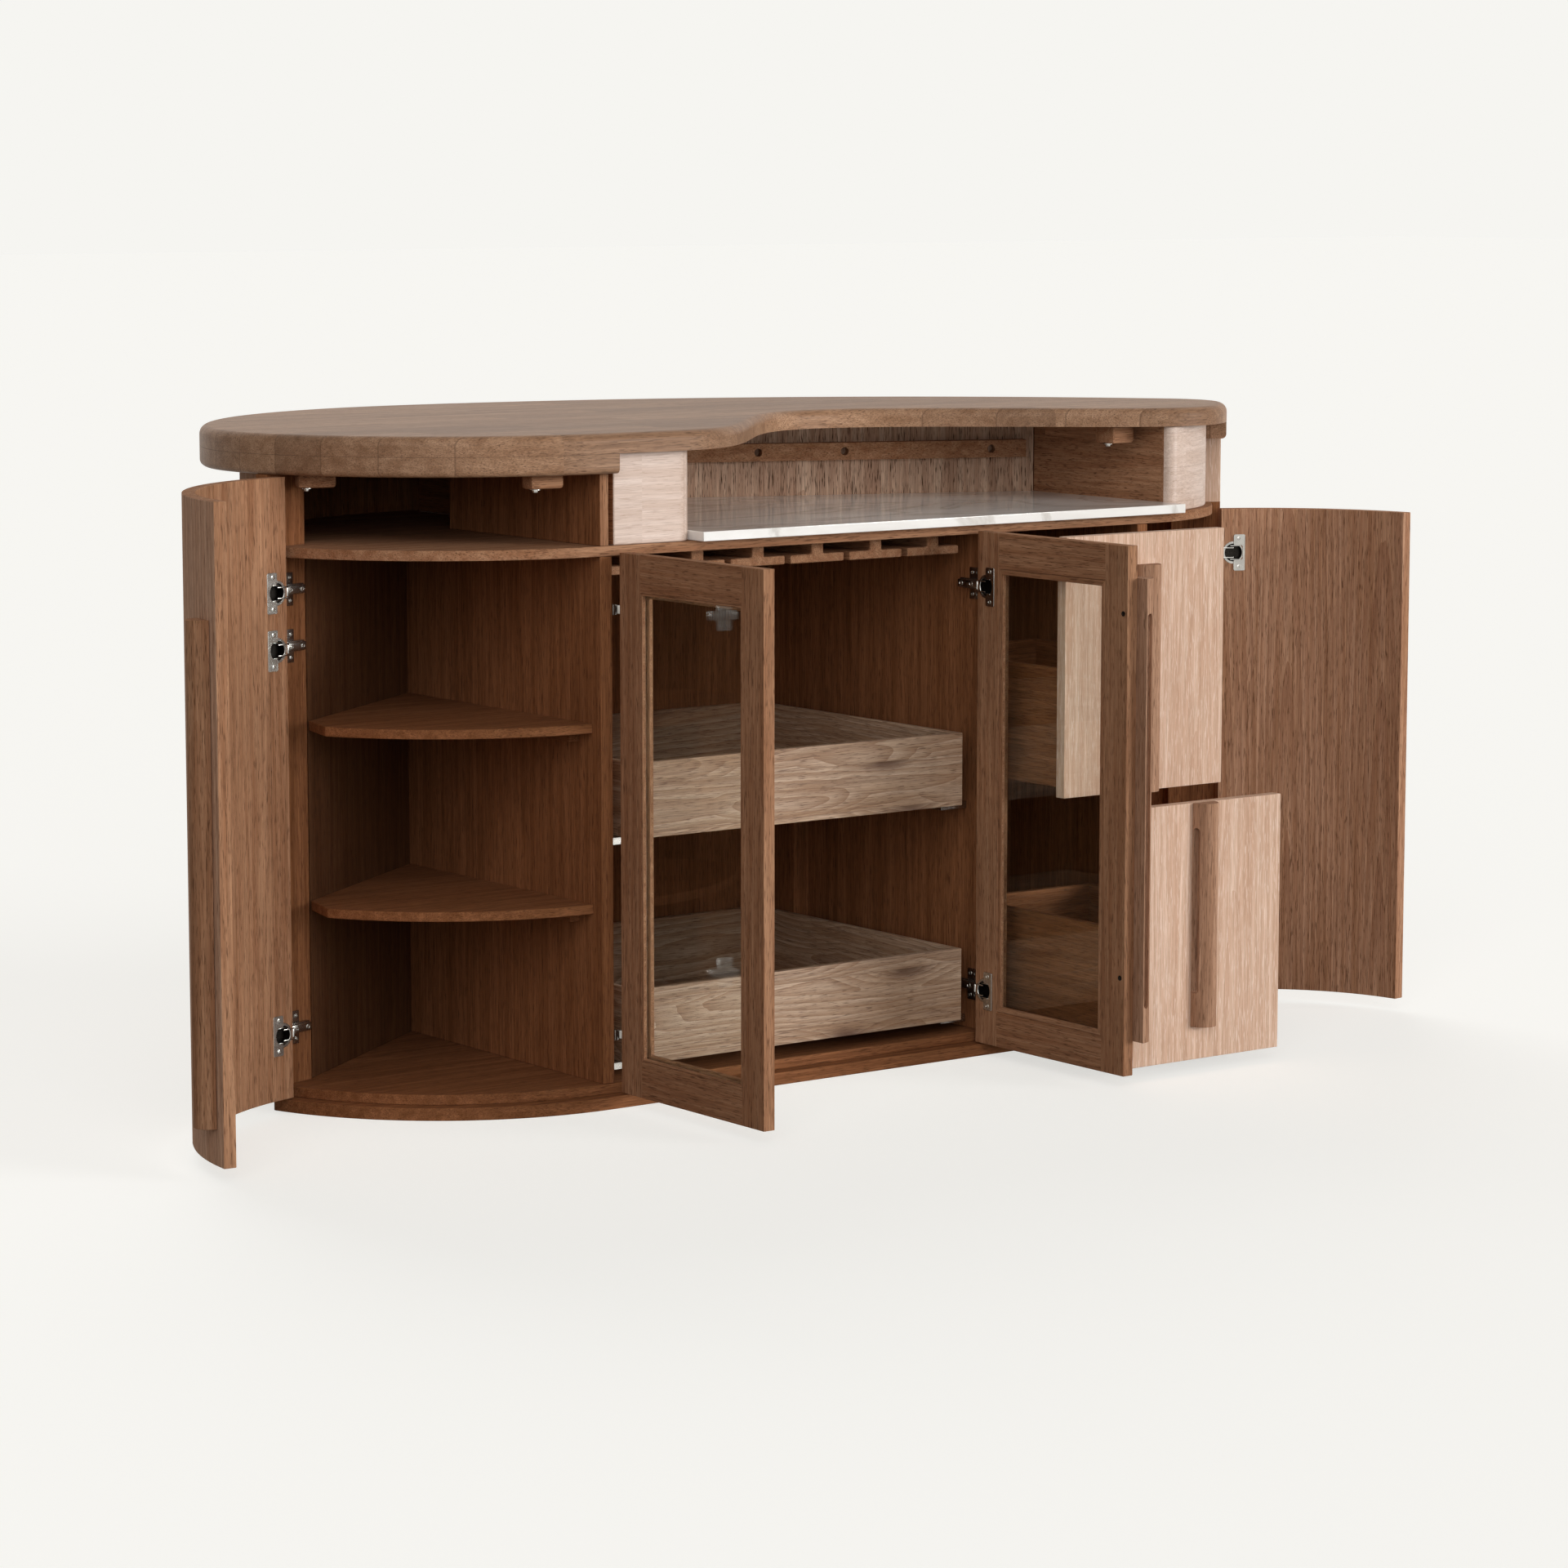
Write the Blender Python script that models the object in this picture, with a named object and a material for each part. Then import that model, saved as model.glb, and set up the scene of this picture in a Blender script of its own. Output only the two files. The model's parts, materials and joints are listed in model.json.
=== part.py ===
"""Home bar counter: curved guest side, two glazed doors, two curved doors, pull-out trays and drawers.

Metres, +Z up, the floor at Z = 0. X runs along the counter from the middle of the glazed bay,
Y runs from the server's side to the guests' side. Each piece is one object. Doors, drawers and
trays are drawn shut, then turned or pushed to their stored position about their own origin,
which lies on the joint axis.
"""
import math

import bpy
import bmesh
from mathutils import Matrix, Vector

for old in list(bpy.data.objects):
    bpy.data.objects.remove(old)

# Overall sizes
BAR_H = 1.050
FACE_Y = -0.420
BAY_W = 0.738
DRAWER_BAY_W = 0.307
PART_T = 0.022
SEAT = 0.0003
REVEAL = 0.003
SETBACK = 0.023

# Plan outline of the top: arcs that follow each other, turning by these headings
R_LEFT = 0.447
R_LEFT_SHOULDER = 0.292
R_RIGHT_SHOULDER = 0.120
R_RIGHT = 0.345
HEADINGS = (180.0, 108.0, 68.0, 0.0, -54.0, -122.0, -180.0)
ARC_ERROR = 0.00015
LEFT_ARC_INSET = 0.002
RIGHT_ARC_OUTSET = 0.001

# Heights
PLINTH_H = 0.020
BOARD_T = 0.016
DOOR_Z0 = 0.0225
NICHE_RISE = 0.190
DOOR_LAP = 0.006
STONE_T = 0.015
SLAB_T = 0.031
LIP_H = 0.031

# Guest side and carcass
OVERHANG = 0.062
GUEST_T = 0.018
PLINTH_RECESS = 0.092
LIP_W = 0.0615
LIP_END = -130.0
POST_T = 0.022
POST_W = 0.090
POST_INSET = 0.004
BACK_Y = 0.600
BACK_T = 0.012
RIGHT_PART_CLEAR = 0.0038
LEFT_BACK_T = 0.010
LEFT_BACK_Y = 0.580

# Scalloped working edge of the top, from the left partition's inner face
SCALLOP = (0.129, 0.629, 0.629, 1.299)
SCALLOP_D = 0.355
SCALLOP_N = 20

# Niche above the worktop
NICHE_X0 = 0.157
NICHE_X1 = 1.154
NICHE_Y0 = 0.785
NICHE_CLEAR = 0.0324
NICHE_T = 0.018
NICHE_BACK_T = 0.012
APRON_X0 = 0.003
APRON_R = 0.030
END_INSET = 0.035
UPPER_PART_T = 0.016
UPPER_PART_Y = 0.450
RAIL_DROP = 0.067
RAIL_H = 0.030
RAIL_T = 0.020
RAIL_HOLE_R = 0.007
RAIL_HOLES = (0.53, 0.68, 0.938)

# Left bay shelves
SHELF_T = 0.015
SHELF_TOPS = (0.600, 0.3175)
SHELF_INSET = 0.045
SHELF_TURN = 118.0
CLEAT_Y0 = 0.084
CLEAT_L = 0.111
CLEAT_W = 0.018
CLEAT_H = 0.016

# Stemware rails
RAIL_N = 6
RAIL_EDGE = 0.074
RAIL_STEM_W = 0.024
RAIL_STEM_H = 0.020
RAIL_SLOT = 0.011
RAIL_FLANGE_T = 0.014
RAIL_Y0 = 0.065
RAIL_L = 0.300

# Doors and hinges
DOOR_T = 0.020
OVERLAY = 0.005
STILE_W = 0.055
DOOR_RAIL_W = 0.058
PANE_T = 0.004
PIVOT_IN = 0.010
GLASS_OPEN = 90.0
LEFT_OPEN = 95.0
RIGHT_OPEN = 98.0
GLASS_HINGE_LOW = 0.1115
GLASS_HINGE_DROP = 0.089
LEFT_HINGE_LOW = 0.124
LEFT_HINGE_DROPS = (0.139, 0.051)
RIGHT_HINGE_LOW = 0.0985
RIGHT_HINGE_DROP = 0.076
CUP_R = 0.0175
CUP_IN = 0.0225
CUP_DEPTH = 0.0138
ARM_H = 0.016
ARM_Y0 = 0.024
ARM_Y1 = 0.062
NOSE_Y = 0.0070
NOSE_T = 0.0045
NOSE_GAP_FLAT = 0.0005
NOSE_GAP_CURVED = 0.0014
PLATE_T = 0.006

# Handles
HANDLE_W = 0.046
HANDLE_D = 0.026
HANDLE_Z0 = 0.0775
HANDLE_DROP = 0.051
HANDLE_IN = 0.030
GROOVE_W = 0.012
GROOVE_D = 0.010
GROOVE_END = 0.055
GROOVE_SPLIT = 0.040

# Drawers
DRAWER_SPLIT = 0.443
DRAWER_BOX_H = 0.1936
DRAWER_BOX_Z = (0.050, 0.456)
DRAWER_BOX_L = 0.420
DRAWER_SIDE_T = 0.012
DRAWER_SIDE_GAP = 0.013
DRAWER_STOP = 0.049
DRAWER_UPPER_OUT = 0.175

# Trays
TRAY_SIDE_GAP = 0.0415
TRAY_H = 0.120
TRAY_L = 0.560
TRAY_Y0 = 0.026
TRAY_Z = (0.0584, 0.4157)
TRAY_FRONT_T = 0.014
TRAY_SIDE_T = 0.010
BOX_BOTTOM_T = 0.006
BOX_BOTTOM_UP = 0.004

# Runner carriers
LEDGE_T = 0.012
LEDGE_IN = 0.012
TRAY_LEDGE_Y = (0.066, 0.580)
DRAWER_LEDGE_Y = (0.030, 0.440)
STANDARD_L = 0.080

# Derived heights and places
X_LEFT = -BAY_W / 2
X_RIGHT = BAY_W / 2
X_P1 = X_LEFT - PART_T
X_P3 = X_RIGHT + PART_T + DRAWER_BAY_W
BOTTOM_Z = PLINTH_H + SEAT
BOTTOM_TOP = BOTTOM_Z + BOARD_T
MID_Z = BAR_H - NICHE_RISE
MID_TOP = MID_Z + BOARD_T
DOOR_Z1 = MID_Z + DOOR_LAP
SLAB_Z = BAR_H - SLAB_T
LIP_Z = SLAB_Z - LIP_H
LEFT_DOOR_Z1 = LIP_Z - REVEAL
HANDLE_Z1 = DOOR_Z1 - HANDLE_DROP
RAIL_Z = SLAB_Z - RAIL_DROP
GLASS_HINGES = (GLASS_HINGE_LOW, DOOR_Z1 - GLASS_HINGE_DROP)
LEFT_HINGES_HIGH = tuple(MID_Z - drop for drop in LEFT_HINGE_DROPS)
RIGHT_HINGES = (RIGHT_HINGE_LOW, DOOR_Z1 - RIGHT_HINGE_DROP)
TRAY_W = BAY_W - 2 * TRAY_SIDE_GAP
DRAWER_OUT = (BAY_W / 2 - DRAWER_STOP, DRAWER_UPPER_OUT)
END_R = R_RIGHT - END_INSET
RAIL_PITCH = (BAY_W - 2 * RAIL_EDGE) / (RAIL_N - 1)
RAIL_FLANGE_W = RAIL_PITCH - RAIL_SLOT
GUEST_IN = OVERHANG + GUEST_T + SEAT
DOOR_BACK = FACE_Y + DOOR_T


def solve_outline():
    """Arcs (centre, radius, from heading, to heading) round the top, closed on the face plane."""
    turns = [math.radians(h) for h in HEADINGS]
    start = Vector((X_P1 + LEFT_ARC_INSET, FACE_Y))
    end_x = X_P3 + PART_T + RIGHT_ARC_OUTSET
    known = {0: R_LEFT, 1: R_LEFT_SHOULDER, 4: R_RIGHT_SHOULDER, 5: R_RIGHT}

    def step(i):
        a, b = turns[i], turns[i + 1]
        return Vector((math.sin(a) - math.sin(b), math.cos(b) - math.cos(a)))

    left = Vector((end_x - start.x, 0.0))
    for i, radius in known.items():
        left -= step(i) * radius
    c, d = step(2), step(3)
    det = c.x * d.y - c.y * d.x
    radii = dict(known)
    radii[2] = (left.x * d.y - left.y * d.x) / det
    radii[3] = (c.x * left.y - c.y * left.x) / det
    arcs = []
    point = start
    for i in range(6):
        a, b = turns[i], turns[i + 1]
        centre = point - radii[i] * Vector((-math.sin(a), math.cos(a)))
        point = centre + radii[i] * Vector((-math.sin(b), math.cos(b)))
        arcs.append((centre, radii[i], HEADINGS[i], HEADINGS[i + 1]))
    return arcs


ARCS = solve_outline()


def along(heading):
    """Unit vector along the outline, clockwise, at a heading in degrees."""
    h = math.radians(heading)
    return Vector((math.cos(h), math.sin(h)))


def inward(heading):
    """Unit vector from the outline into the counter at a heading."""
    h = math.radians(heading)
    return Vector((math.sin(h), -math.cos(h)))


def on_outline(heading, offset=0.0):
    """Point of the outline at a heading, moved inward by an offset."""
    for centre, radius, a, b in ARCS:
        if a >= heading >= b:
            return centre - (radius - offset) * inward(heading)
    raise ValueError(heading)


def outline(offset, start, end):
    """Points of the offset outline from one heading down to another."""
    points = []
    for centre, radius, a, b in ARCS:
        top, low = min(a, start), max(b, end)
        if top - low < 1e-6:
            continue
        n = math.ceil((a - b) / math.degrees(2 * math.acos(1 - ARC_ERROR / radius)))
        grid = [a + (b - a) * k / n for k in range(n + 1)]
        for heading in [top] + [h for h in grid if top - 0.3 > h > low + 0.3] + [low]:
            point = centre - (radius - offset) * inward(heading)
            if not points or (point - points[-1]).length > 1e-5:
                points.append(point)
    return points


def guest_y(x):
    """World Y of the guest panel's inner face at a world X."""
    points = outline(GUEST_IN, HEADINGS[2], HEADINGS[5])
    for a, b in zip(points, points[1:]):
        if a.x <= x <= b.x:
            return a.y + (b.y - a.y) * (x - a.x) / (b.x - a.x)
    raise ValueError(x)


def local(origin, main, inn, u, v):
    """Point u along main and v along inn from an origin in plan."""
    return origin + main * u + inn * v


def px(x):
    """World X of a place measured from the left partition's inner face."""
    return X_LEFT + x


def py(y):
    """World Y of a place measured back from the door faces."""
    return FACE_Y + y


parts = bpy.data.collections.new("home_bar_counter")
bpy.context.scene.collection.children.link(parts)
tools = bpy.data.collections.new("cutters")
bpy.context.scene.collection.children.link(tools)


def material(name, colour, roughness, metallic=0.0, alpha=1.0):
    """A named Principled material."""
    mat = bpy.data.materials.new(name)
    mat.use_nodes = True
    shader = mat.node_tree.nodes["Principled BSDF"]
    shader.inputs["Base Color"].default_value = (*colour, 1.0)
    shader.inputs["Roughness"].default_value = roughness
    shader.inputs["Metallic"].default_value = metallic
    shader.inputs["Alpha"].default_value = alpha
    return mat


OAK = material("oak_veneer", (0.42, 0.26, 0.16), 0.45)
OAK_DARK = material("oak_interior", (0.26, 0.15, 0.09), 0.5)
OAK_TOP = material("oak_top", (0.36, 0.25, 0.17), 0.35)
MANGO = material("mango_wood", (0.50, 0.35, 0.21), 0.45)
STONE = material("pale_marble", (0.82, 0.78, 0.72), 0.15)
GLASS = material("clear_glass", (0.92, 0.94, 0.93), 0.03, 0.0, 0.25)
STEEL = material("nickel_steel", (0.75, 0.74, 0.72), 0.25, 1.0)


def mesh_object(name, mesh, mat, group=None):
    """Object of a mesh, in the parts collection unless another is given."""
    obj = bpy.data.objects.new(name, mesh)
    mesh.materials.clear()
    mesh.materials.append(mat)
    (group or parts).objects.link(obj)
    return obj


def prism(name, loops, height, mat, place=Matrix(), group=None):
    """Solid from closed plan loops (the first is the outside), raised from 0 to a height."""
    curve = bpy.data.curves.new(name, "CURVE")
    curve.dimensions = "2D"
    curve.fill_mode = "BOTH"
    curve.render_resolution_u = 0
    curve.extrude = height / 2
    for loop in loops:
        spline = curve.splines.new("POLY")
        spline.points.add(len(loop) - 1)
        for point, place_at in zip(spline.points, loop):
            point.co = (place_at[0], place_at[1], 0.0, 1.0)
        spline.use_cyclic_u = True
    holder = bpy.data.objects.new(name + "_curve", curve)
    bpy.context.scene.collection.objects.link(holder)
    mesh = bpy.data.meshes.new_from_object(holder)
    bm = bmesh.new()
    bm.from_mesh(mesh)
    bmesh.ops.remove_doubles(bm, verts=bm.verts, dist=0.00005)
    bmesh.ops.recalc_face_normals(bm, faces=bm.faces)
    bm.to_mesh(mesh)
    bm.free()
    bpy.data.objects.remove(holder)
    bpy.data.curves.remove(curve)
    mesh.transform(place @ Matrix.Translation((0.0, 0.0, height / 2)))
    mesh.name = name
    return mesh_object(name, mesh, mat, group)


def board(name, loops, z0, z1, mat, group=None):
    """Solid of plan loops between two heights."""
    return prism(name, loops, z1 - z0, mat, Matrix.Translation((0.0, 0.0, z0)), group)


def rect(x0, x1, y0, y1):
    """Corners of a plan rectangle."""
    return [(x0, y0), (x1, y0), (x1, y1), (x0, y1)]


def box(name, x0, x1, y0, y1, z0, z1, mat, group=None):
    """Rectangular solid between two corners."""
    bpy.ops.mesh.primitive_cube_add(size=1.0)
    cube = bpy.context.object
    mesh = cube.data
    size = Matrix.Diagonal((x1 - x0, y1 - y0, z1 - z0, 1.0))
    mesh.transform(Matrix.Translation(((x0 + x1) / 2, (y0 + y1) / 2, (z0 + z1) / 2)) @ size)
    bpy.data.objects.remove(cube)
    mesh.name = name
    return mesh_object(name, mesh, mat, group)


def combine(obj, other, operation):
    """Apply an exact Boolean with another object, which is then removed."""
    other.hide_render = True
    other.display_type = "WIRE"
    mod = obj.modifiers.new(operation.lower(), "BOOLEAN")
    mod.operation = operation
    mod.solver = "EXACT"
    mod.object = other
    bpy.context.view_layer.update()
    depsgraph = bpy.context.evaluated_depsgraph_get()
    mesh = bpy.data.meshes.new_from_object(obj.evaluated_get(depsgraph))
    obj.modifiers.clear()
    mat = obj.data.materials[0]
    obj.data = mesh
    mesh.materials.clear()
    mesh.materials.append(mat)
    mesh.polygons.foreach_set("material_index", [0] * len(mesh.polygons))
    bpy.data.objects.remove(other)
    return obj


def stand(obj, pivot, degrees=0.0, shift=(0.0, 0.0, 0.0)):
    """Put an object's origin on its joint, then turn or push it to where it is stored."""
    obj.data.transform(Matrix.Translation(-Vector(pivot)))
    obj.location = Vector(pivot) + Vector(shift)
    obj.rotation_euler = (0.0, 0.0, math.radians(degrees))
    return obj


# Plinth, bottom and middle panels
def post_frame(left):
    """Corner of a hinge post on the outline, the way to the door and the way in."""
    heading = HEADINGS[1] if left else HEADINGS[5]
    to_door = -along(heading) if left else along(heading)
    return on_outline(heading), to_door, inward(heading), heading


def panel_loop(front):
    """Outline of a panel that is notched round both posts and stops at the guest panel."""
    base, to_door, inn, heading = post_frame(True)
    lead = math.degrees(SEAT / R_LEFT)
    loop = outline(front, HEADINGS[0], heading + lead)
    loop.append(local(base, to_door, inn, SEAT, POST_W + SEAT))
    loop.append(local(base, to_door, inn, -POST_T - SEAT, POST_W + SEAT))
    turn = math.degrees(math.asin((POST_T + 3 * SEAT) / (R_LEFT_SHOULDER - GUEST_IN)))
    back = math.degrees(math.asin((POST_T + 3 * SEAT) / (R_RIGHT_SHOULDER - GUEST_IN)))
    loop += outline(GUEST_IN, heading - turn, HEADINGS[5] + back)
    base, to_door, inn, heading = post_frame(False)
    loop.append(local(base, to_door, inn, -POST_T - SEAT, POST_W + SEAT))
    loop.append(local(base, to_door, inn, SEAT, POST_W + SEAT))
    lead = math.degrees(SEAT / R_RIGHT)
    loop += outline(front, heading - lead, HEADINGS[6])
    return loop


plinth_loop = outline(0.0, HEADINGS[0], HEADINGS[1])
plinth_loop += outline(PLINTH_RECESS, HEADINGS[1] - 8.0, HEADINGS[5] + 8.0)
plinth_loop += outline(0.0, HEADINGS[5], HEADINGS[6])
board("plinth", [plinth_loop], 0.0, PLINTH_H, OAK)
board("bottom_panel", [panel_loop(SETBACK)], BOTTOM_Z, BOTTOM_TOP, OAK_DARK)
board("mid_panel", [panel_loop(SETBACK)], MID_Z, MID_TOP, OAK)

# Guest panel between the posts
guest_l = [math.degrees(math.asin((POST_T + SEAT) / (R_LEFT_SHOULDER - d)))
           for d in (OVERHANG, OVERHANG + GUEST_T)]
guest_r = [math.degrees(math.asin((POST_T + SEAT) / (R_RIGHT_SHOULDER - d)))
           for d in (OVERHANG, OVERHANG + GUEST_T)]
guest_loop = outline(OVERHANG, HEADINGS[1] - guest_l[0], HEADINGS[5] + guest_r[0])
guest_loop += reversed(outline(OVERHANG + GUEST_T, HEADINGS[1] - guest_l[1], HEADINGS[5] + guest_r[1]))
board("customer_panel", [guest_loop], BOTTOM_Z, SLAB_Z - SEAT, OAK)

# Hinge posts
for side, name in ((True, "left_post"), (False, "right_post")):
    base, to_door, inn, heading = post_frame(side)
    corners = ((0.0, POST_INSET), (0.0, POST_W), (-POST_T, POST_W), (-POST_T, POST_INSET))
    board(name, [[local(base, to_door, inn, u, v) for u, v in corners]], BOTTOM_Z, LIP_Z - SEAT, OAK)

# Partitions and backs
LOW = BOTTOM_TOP + SEAT
HIGH = MID_Z - SEAT
PART_Y0 = py(SETBACK)
BACK_END = py(BACK_Y + BACK_T)
RIGHT_PART_END = guest_y(X_P3 + PART_T) - RIGHT_PART_CLEAR
box("partition_left", X_P1, X_LEFT, PART_Y0, BACK_END, LOW, HIGH, OAK_DARK)
box("partition_middle", X_RIGHT, X_RIGHT + PART_T, PART_Y0, BACK_END, LOW, HIGH, OAK_DARK)
box("partition_right", X_P3, X_P3 + PART_T, PART_Y0, RIGHT_PART_END, LOW, HIGH, OAK_DARK)
box("main_back_panel", X_LEFT + SEAT, X_RIGHT - SEAT, py(BACK_Y), BACK_END, LOW, HIGH, OAK_DARK)

base, to_door, inn, heading = post_frame(True)
back_a = local(base, to_door, inn, SEAT, POST_W + SEAT)
back_b = Vector((X_P1 - SEAT, py(LEFT_BACK_Y)))
back_run = (back_b - back_a).normalized()
back_norm = Vector((-back_run.y, back_run.x))
slip = back_norm.x * LEFT_BACK_T / back_run.x
back_c = back_b + back_norm * LEFT_BACK_T - back_run * slip
back_d = back_a + back_norm * LEFT_BACK_T + back_run * (2 * LEFT_BACK_T)
back_e = back_a + back_run * (2 * LEFT_BACK_T)
board("left_back_panel", [[back_a, back_b, back_c, back_d]], LOW, HIGH, OAK_DARK)

# Left bay shelves on cleats
shelf_front = outline(SHELF_INSET, HEADINGS[0], SHELF_TURN)
shelf_x = X_P1 - SEAT
shelf_loop = [Vector((shelf_x, shelf_front[0].y + 0.0005))]
shelf_loop += [p for p in shelf_front if p.x < shelf_x - 0.004]
gap_in = -back_norm * SEAT
shelf_loop += [back_a + gap_in + back_run * 0.004, back_b + gap_in]
for top, name in zip(SHELF_TOPS, ("upper", "lower")):
    board("shelf_" + name, [shelf_loop], top - SHELF_T, top, OAK_DARK)
    under = top - SHELF_T - SEAT
    box("shelf_cleat_" + name, shelf_x - CLEAT_W, shelf_x, py(CLEAT_Y0), py(CLEAT_Y0 + CLEAT_L),
        under - CLEAT_H, under, OAK_DARK)

# Worktop and the niche round it
ON_MID = MID_TOP + SEAT
UNDER_TOP = SLAB_Z - SEAT
x0, x1 = px(NICHE_X0), px(NICHE_X1)
niche_end = guest_y(x1) - NICHE_CLEAR
slope = (niche_end - py(NICHE_Y0)) / (x1 - x0)


def niche_y(x):
    """World Y of the niche back's face at a world X."""
    return py(NICHE_Y0 + slope * (x - x0))


stone_loop = [(x0 + SEAT, FACE_Y), (x1 - SEAT, FACE_Y),
              (x1 - SEAT, niche_y(x1) - SEAT), (x0 + SEAT, niche_y(x0) - SEAT)]
board("stone_worktop", [stone_loop], ON_MID, ON_MID + STONE_T, STONE)
thick = NICHE_BACK_T * math.hypot(1.0, slope)
niche_loop = [(x0 + SEAT, niche_y(x0)), (x1 - SEAT, niche_y(x1)),
              (x1 - SEAT, niche_y(x1) + thick), (x0 + SEAT, niche_y(x0) + thick)]
board("niche_back", [niche_loop], ON_MID, UNDER_TOP, OAK)

run = Vector((1.0, slope)).normalized()
norm = Vector((-run.y, run.x))
rail_a = Vector((x0, niche_y(x0))) - norm * SEAT + run * (RAIL_T + 2 * SEAT)
rail_b = Vector((x1, niche_y(x1))) - norm * SEAT - run * (RAIL_T + 2 * SEAT)
rail_l = (rail_b - rail_a).length
rail = board("niche_rail", [[rail_a - norm * RAIL_T, rail_b - norm * RAIL_T, rail_b, rail_a]],
             RAIL_Z, RAIL_Z + RAIL_H, OAK)
for part in RAIL_HOLES:
    middle = rail_a + run * (rail_l * part) - norm * (RAIL_T / 2)
    bpy.ops.mesh.primitive_cylinder_add(vertices=20, radius=RAIL_HOLE_R, depth=3 * RAIL_T)
    drill = bpy.context.object
    turn = Matrix.Rotation(math.atan2(norm.y, norm.x), 4, "Z") @ Matrix.Rotation(math.pi / 2, 4, "Y")
    drill.data.transform(Matrix.Translation((middle.x, middle.y, RAIL_Z + RAIL_H / 2)) @ turn)
    tools.objects.link(drill)
    combine(rail, drill, "DIFFERENCE")


def corner(cx, cy, radius, a0, a1, n=5):
    """Points of a round corner about a centre, between two angles in degrees."""
    angles = [math.radians(a0 + (a1 - a0) * k / n) for k in range(n + 1)]
    return [(cx + radius * math.cos(a), cy + radius * math.sin(a)) for a in angles]


apron_y = py(SETBACK)
apron_loop = [(px(APRON_X0), apron_y)]
apron_loop += corner(x0 - APRON_R, apron_y + APRON_R, APRON_R, -90.0, 0.0)
apron_loop += [(x0, niche_y(x0) + thick), (x0 - NICHE_T, niche_y(x0) + thick)]
apron_loop += [(x0 - NICHE_T, apron_y + NICHE_T), (px(APRON_X0), apron_y + NICHE_T)]
board("left_end_panel", [apron_loop], ON_MID, UNDER_TOP, OAK)

# Right end: the arc of the right door carried up to the top, with its return into the niche
END_CENTRE = ARCS[5][0]
end_in = R_RIGHT - END_R
wall_x = x1 + NICHE_T
stop_out = -180.0 + math.degrees(math.asin((wall_x - END_CENTRE.x) / END_R))
stop_in = -180.0 + math.degrees(math.asin((wall_x - END_CENTRE.x) / (END_R - NICHE_T)))
end_loop = outline(end_in, LIP_END - 1.0, stop_out)
tip = end_loop[-1]
end_loop += corner(x1 + NICHE_T, tip.y + NICHE_T, NICHE_T, -90.0, -180.0)[1:]
end_loop += [(x1, niche_y(x1) - SEAT), (wall_x, niche_y(x1) - SEAT)]
end_loop += reversed(outline(end_in + NICHE_T, LIP_END - 1.0, stop_in))
board("right_end_panel", [end_loop], ON_MID, UNDER_TOP, OAK)

box("upper_partition", X_P1, X_P1 + UPPER_PART_T, PART_Y0, py(UPPER_PART_Y), ON_MID, LIP_Z - SEAT, OAK)

# Top slab with its scalloped working edge, and the lip under its rim
s0, s1, s2, s3 = (px(s) for s in SCALLOP)


def ease(t):
    """Cosine ramp from 0 to 1."""
    return (1.0 - math.cos(math.pi * t)) / 2


def working_edge(x):
    """World Y of the working edge of the top at a world X."""
    over = max(0.0, x - END_CENTRE.x)
    y = END_CENTRE.y - math.sqrt(R_RIGHT ** 2 - over ** 2) - FACE_Y
    if x < s1:
        y += SCALLOP_D * ease((x - s0) / (s1 - s0))
    elif x > s2:
        y += SCALLOP_D * ease((s3 - x) / (s3 - s2))
    else:
        y += SCALLOP_D
    return FACE_Y + y


meet = -180.0 + math.degrees(math.asin((s3 - END_CENTRE.x) / R_RIGHT))
slab_loop = outline(0.0, HEADINGS[0], meet)
ramp_r = [s3 + (s2 - s3) * k / SCALLOP_N for k in range(1, SCALLOP_N + 1)]
ramp_l = [s1 + (s0 - s1) * k / SCALLOP_N for k in range(SCALLOP_N + 1)]
slab_loop += [Vector((x, working_edge(x))) for x in ramp_r + ramp_l]
board("countertop", [slab_loop], SLAB_Z, BAR_H, OAK_TOP)
lip_x = X_LEFT - SEAT
lip_loop = [Vector((lip_x, FACE_Y))] + outline(0.0, HEADINGS[0], LIP_END)
lip_loop += reversed(outline(LIP_W, HEADINGS[0], LIP_END))
lip_loop += [Vector((lip_x, FACE_Y + LIP_W))]
board("countertop_lip", [lip_loop], LIP_Z, SLAB_Z - SEAT, OAK_TOP)

# Stemware rails under the middle panel
stem, flange = RAIL_STEM_W / 2, RAIL_FLANGE_W / 2
knee = RAIL_FLANGE_T
head = RAIL_FLANGE_T + RAIL_STEM_H
tee = [(-flange, 0.0), (flange, 0.0), (flange, knee), (stem, knee),
       (stem, head), (-stem, head), (-stem, knee), (-flange, knee)]
upright = Matrix.Rotation(math.pi / 2, 4, "X")
for k in range(RAIL_N):
    x = (k - (RAIL_N - 1) / 2) * RAIL_PITCH
    move = Matrix.Translation((x, py(RAIL_Y0 + RAIL_L), MID_Z - SEAT - head))
    prism("stemware_rail_%d" % (k + 1), [tee], RAIL_L, OAK, move @ upright)


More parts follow.
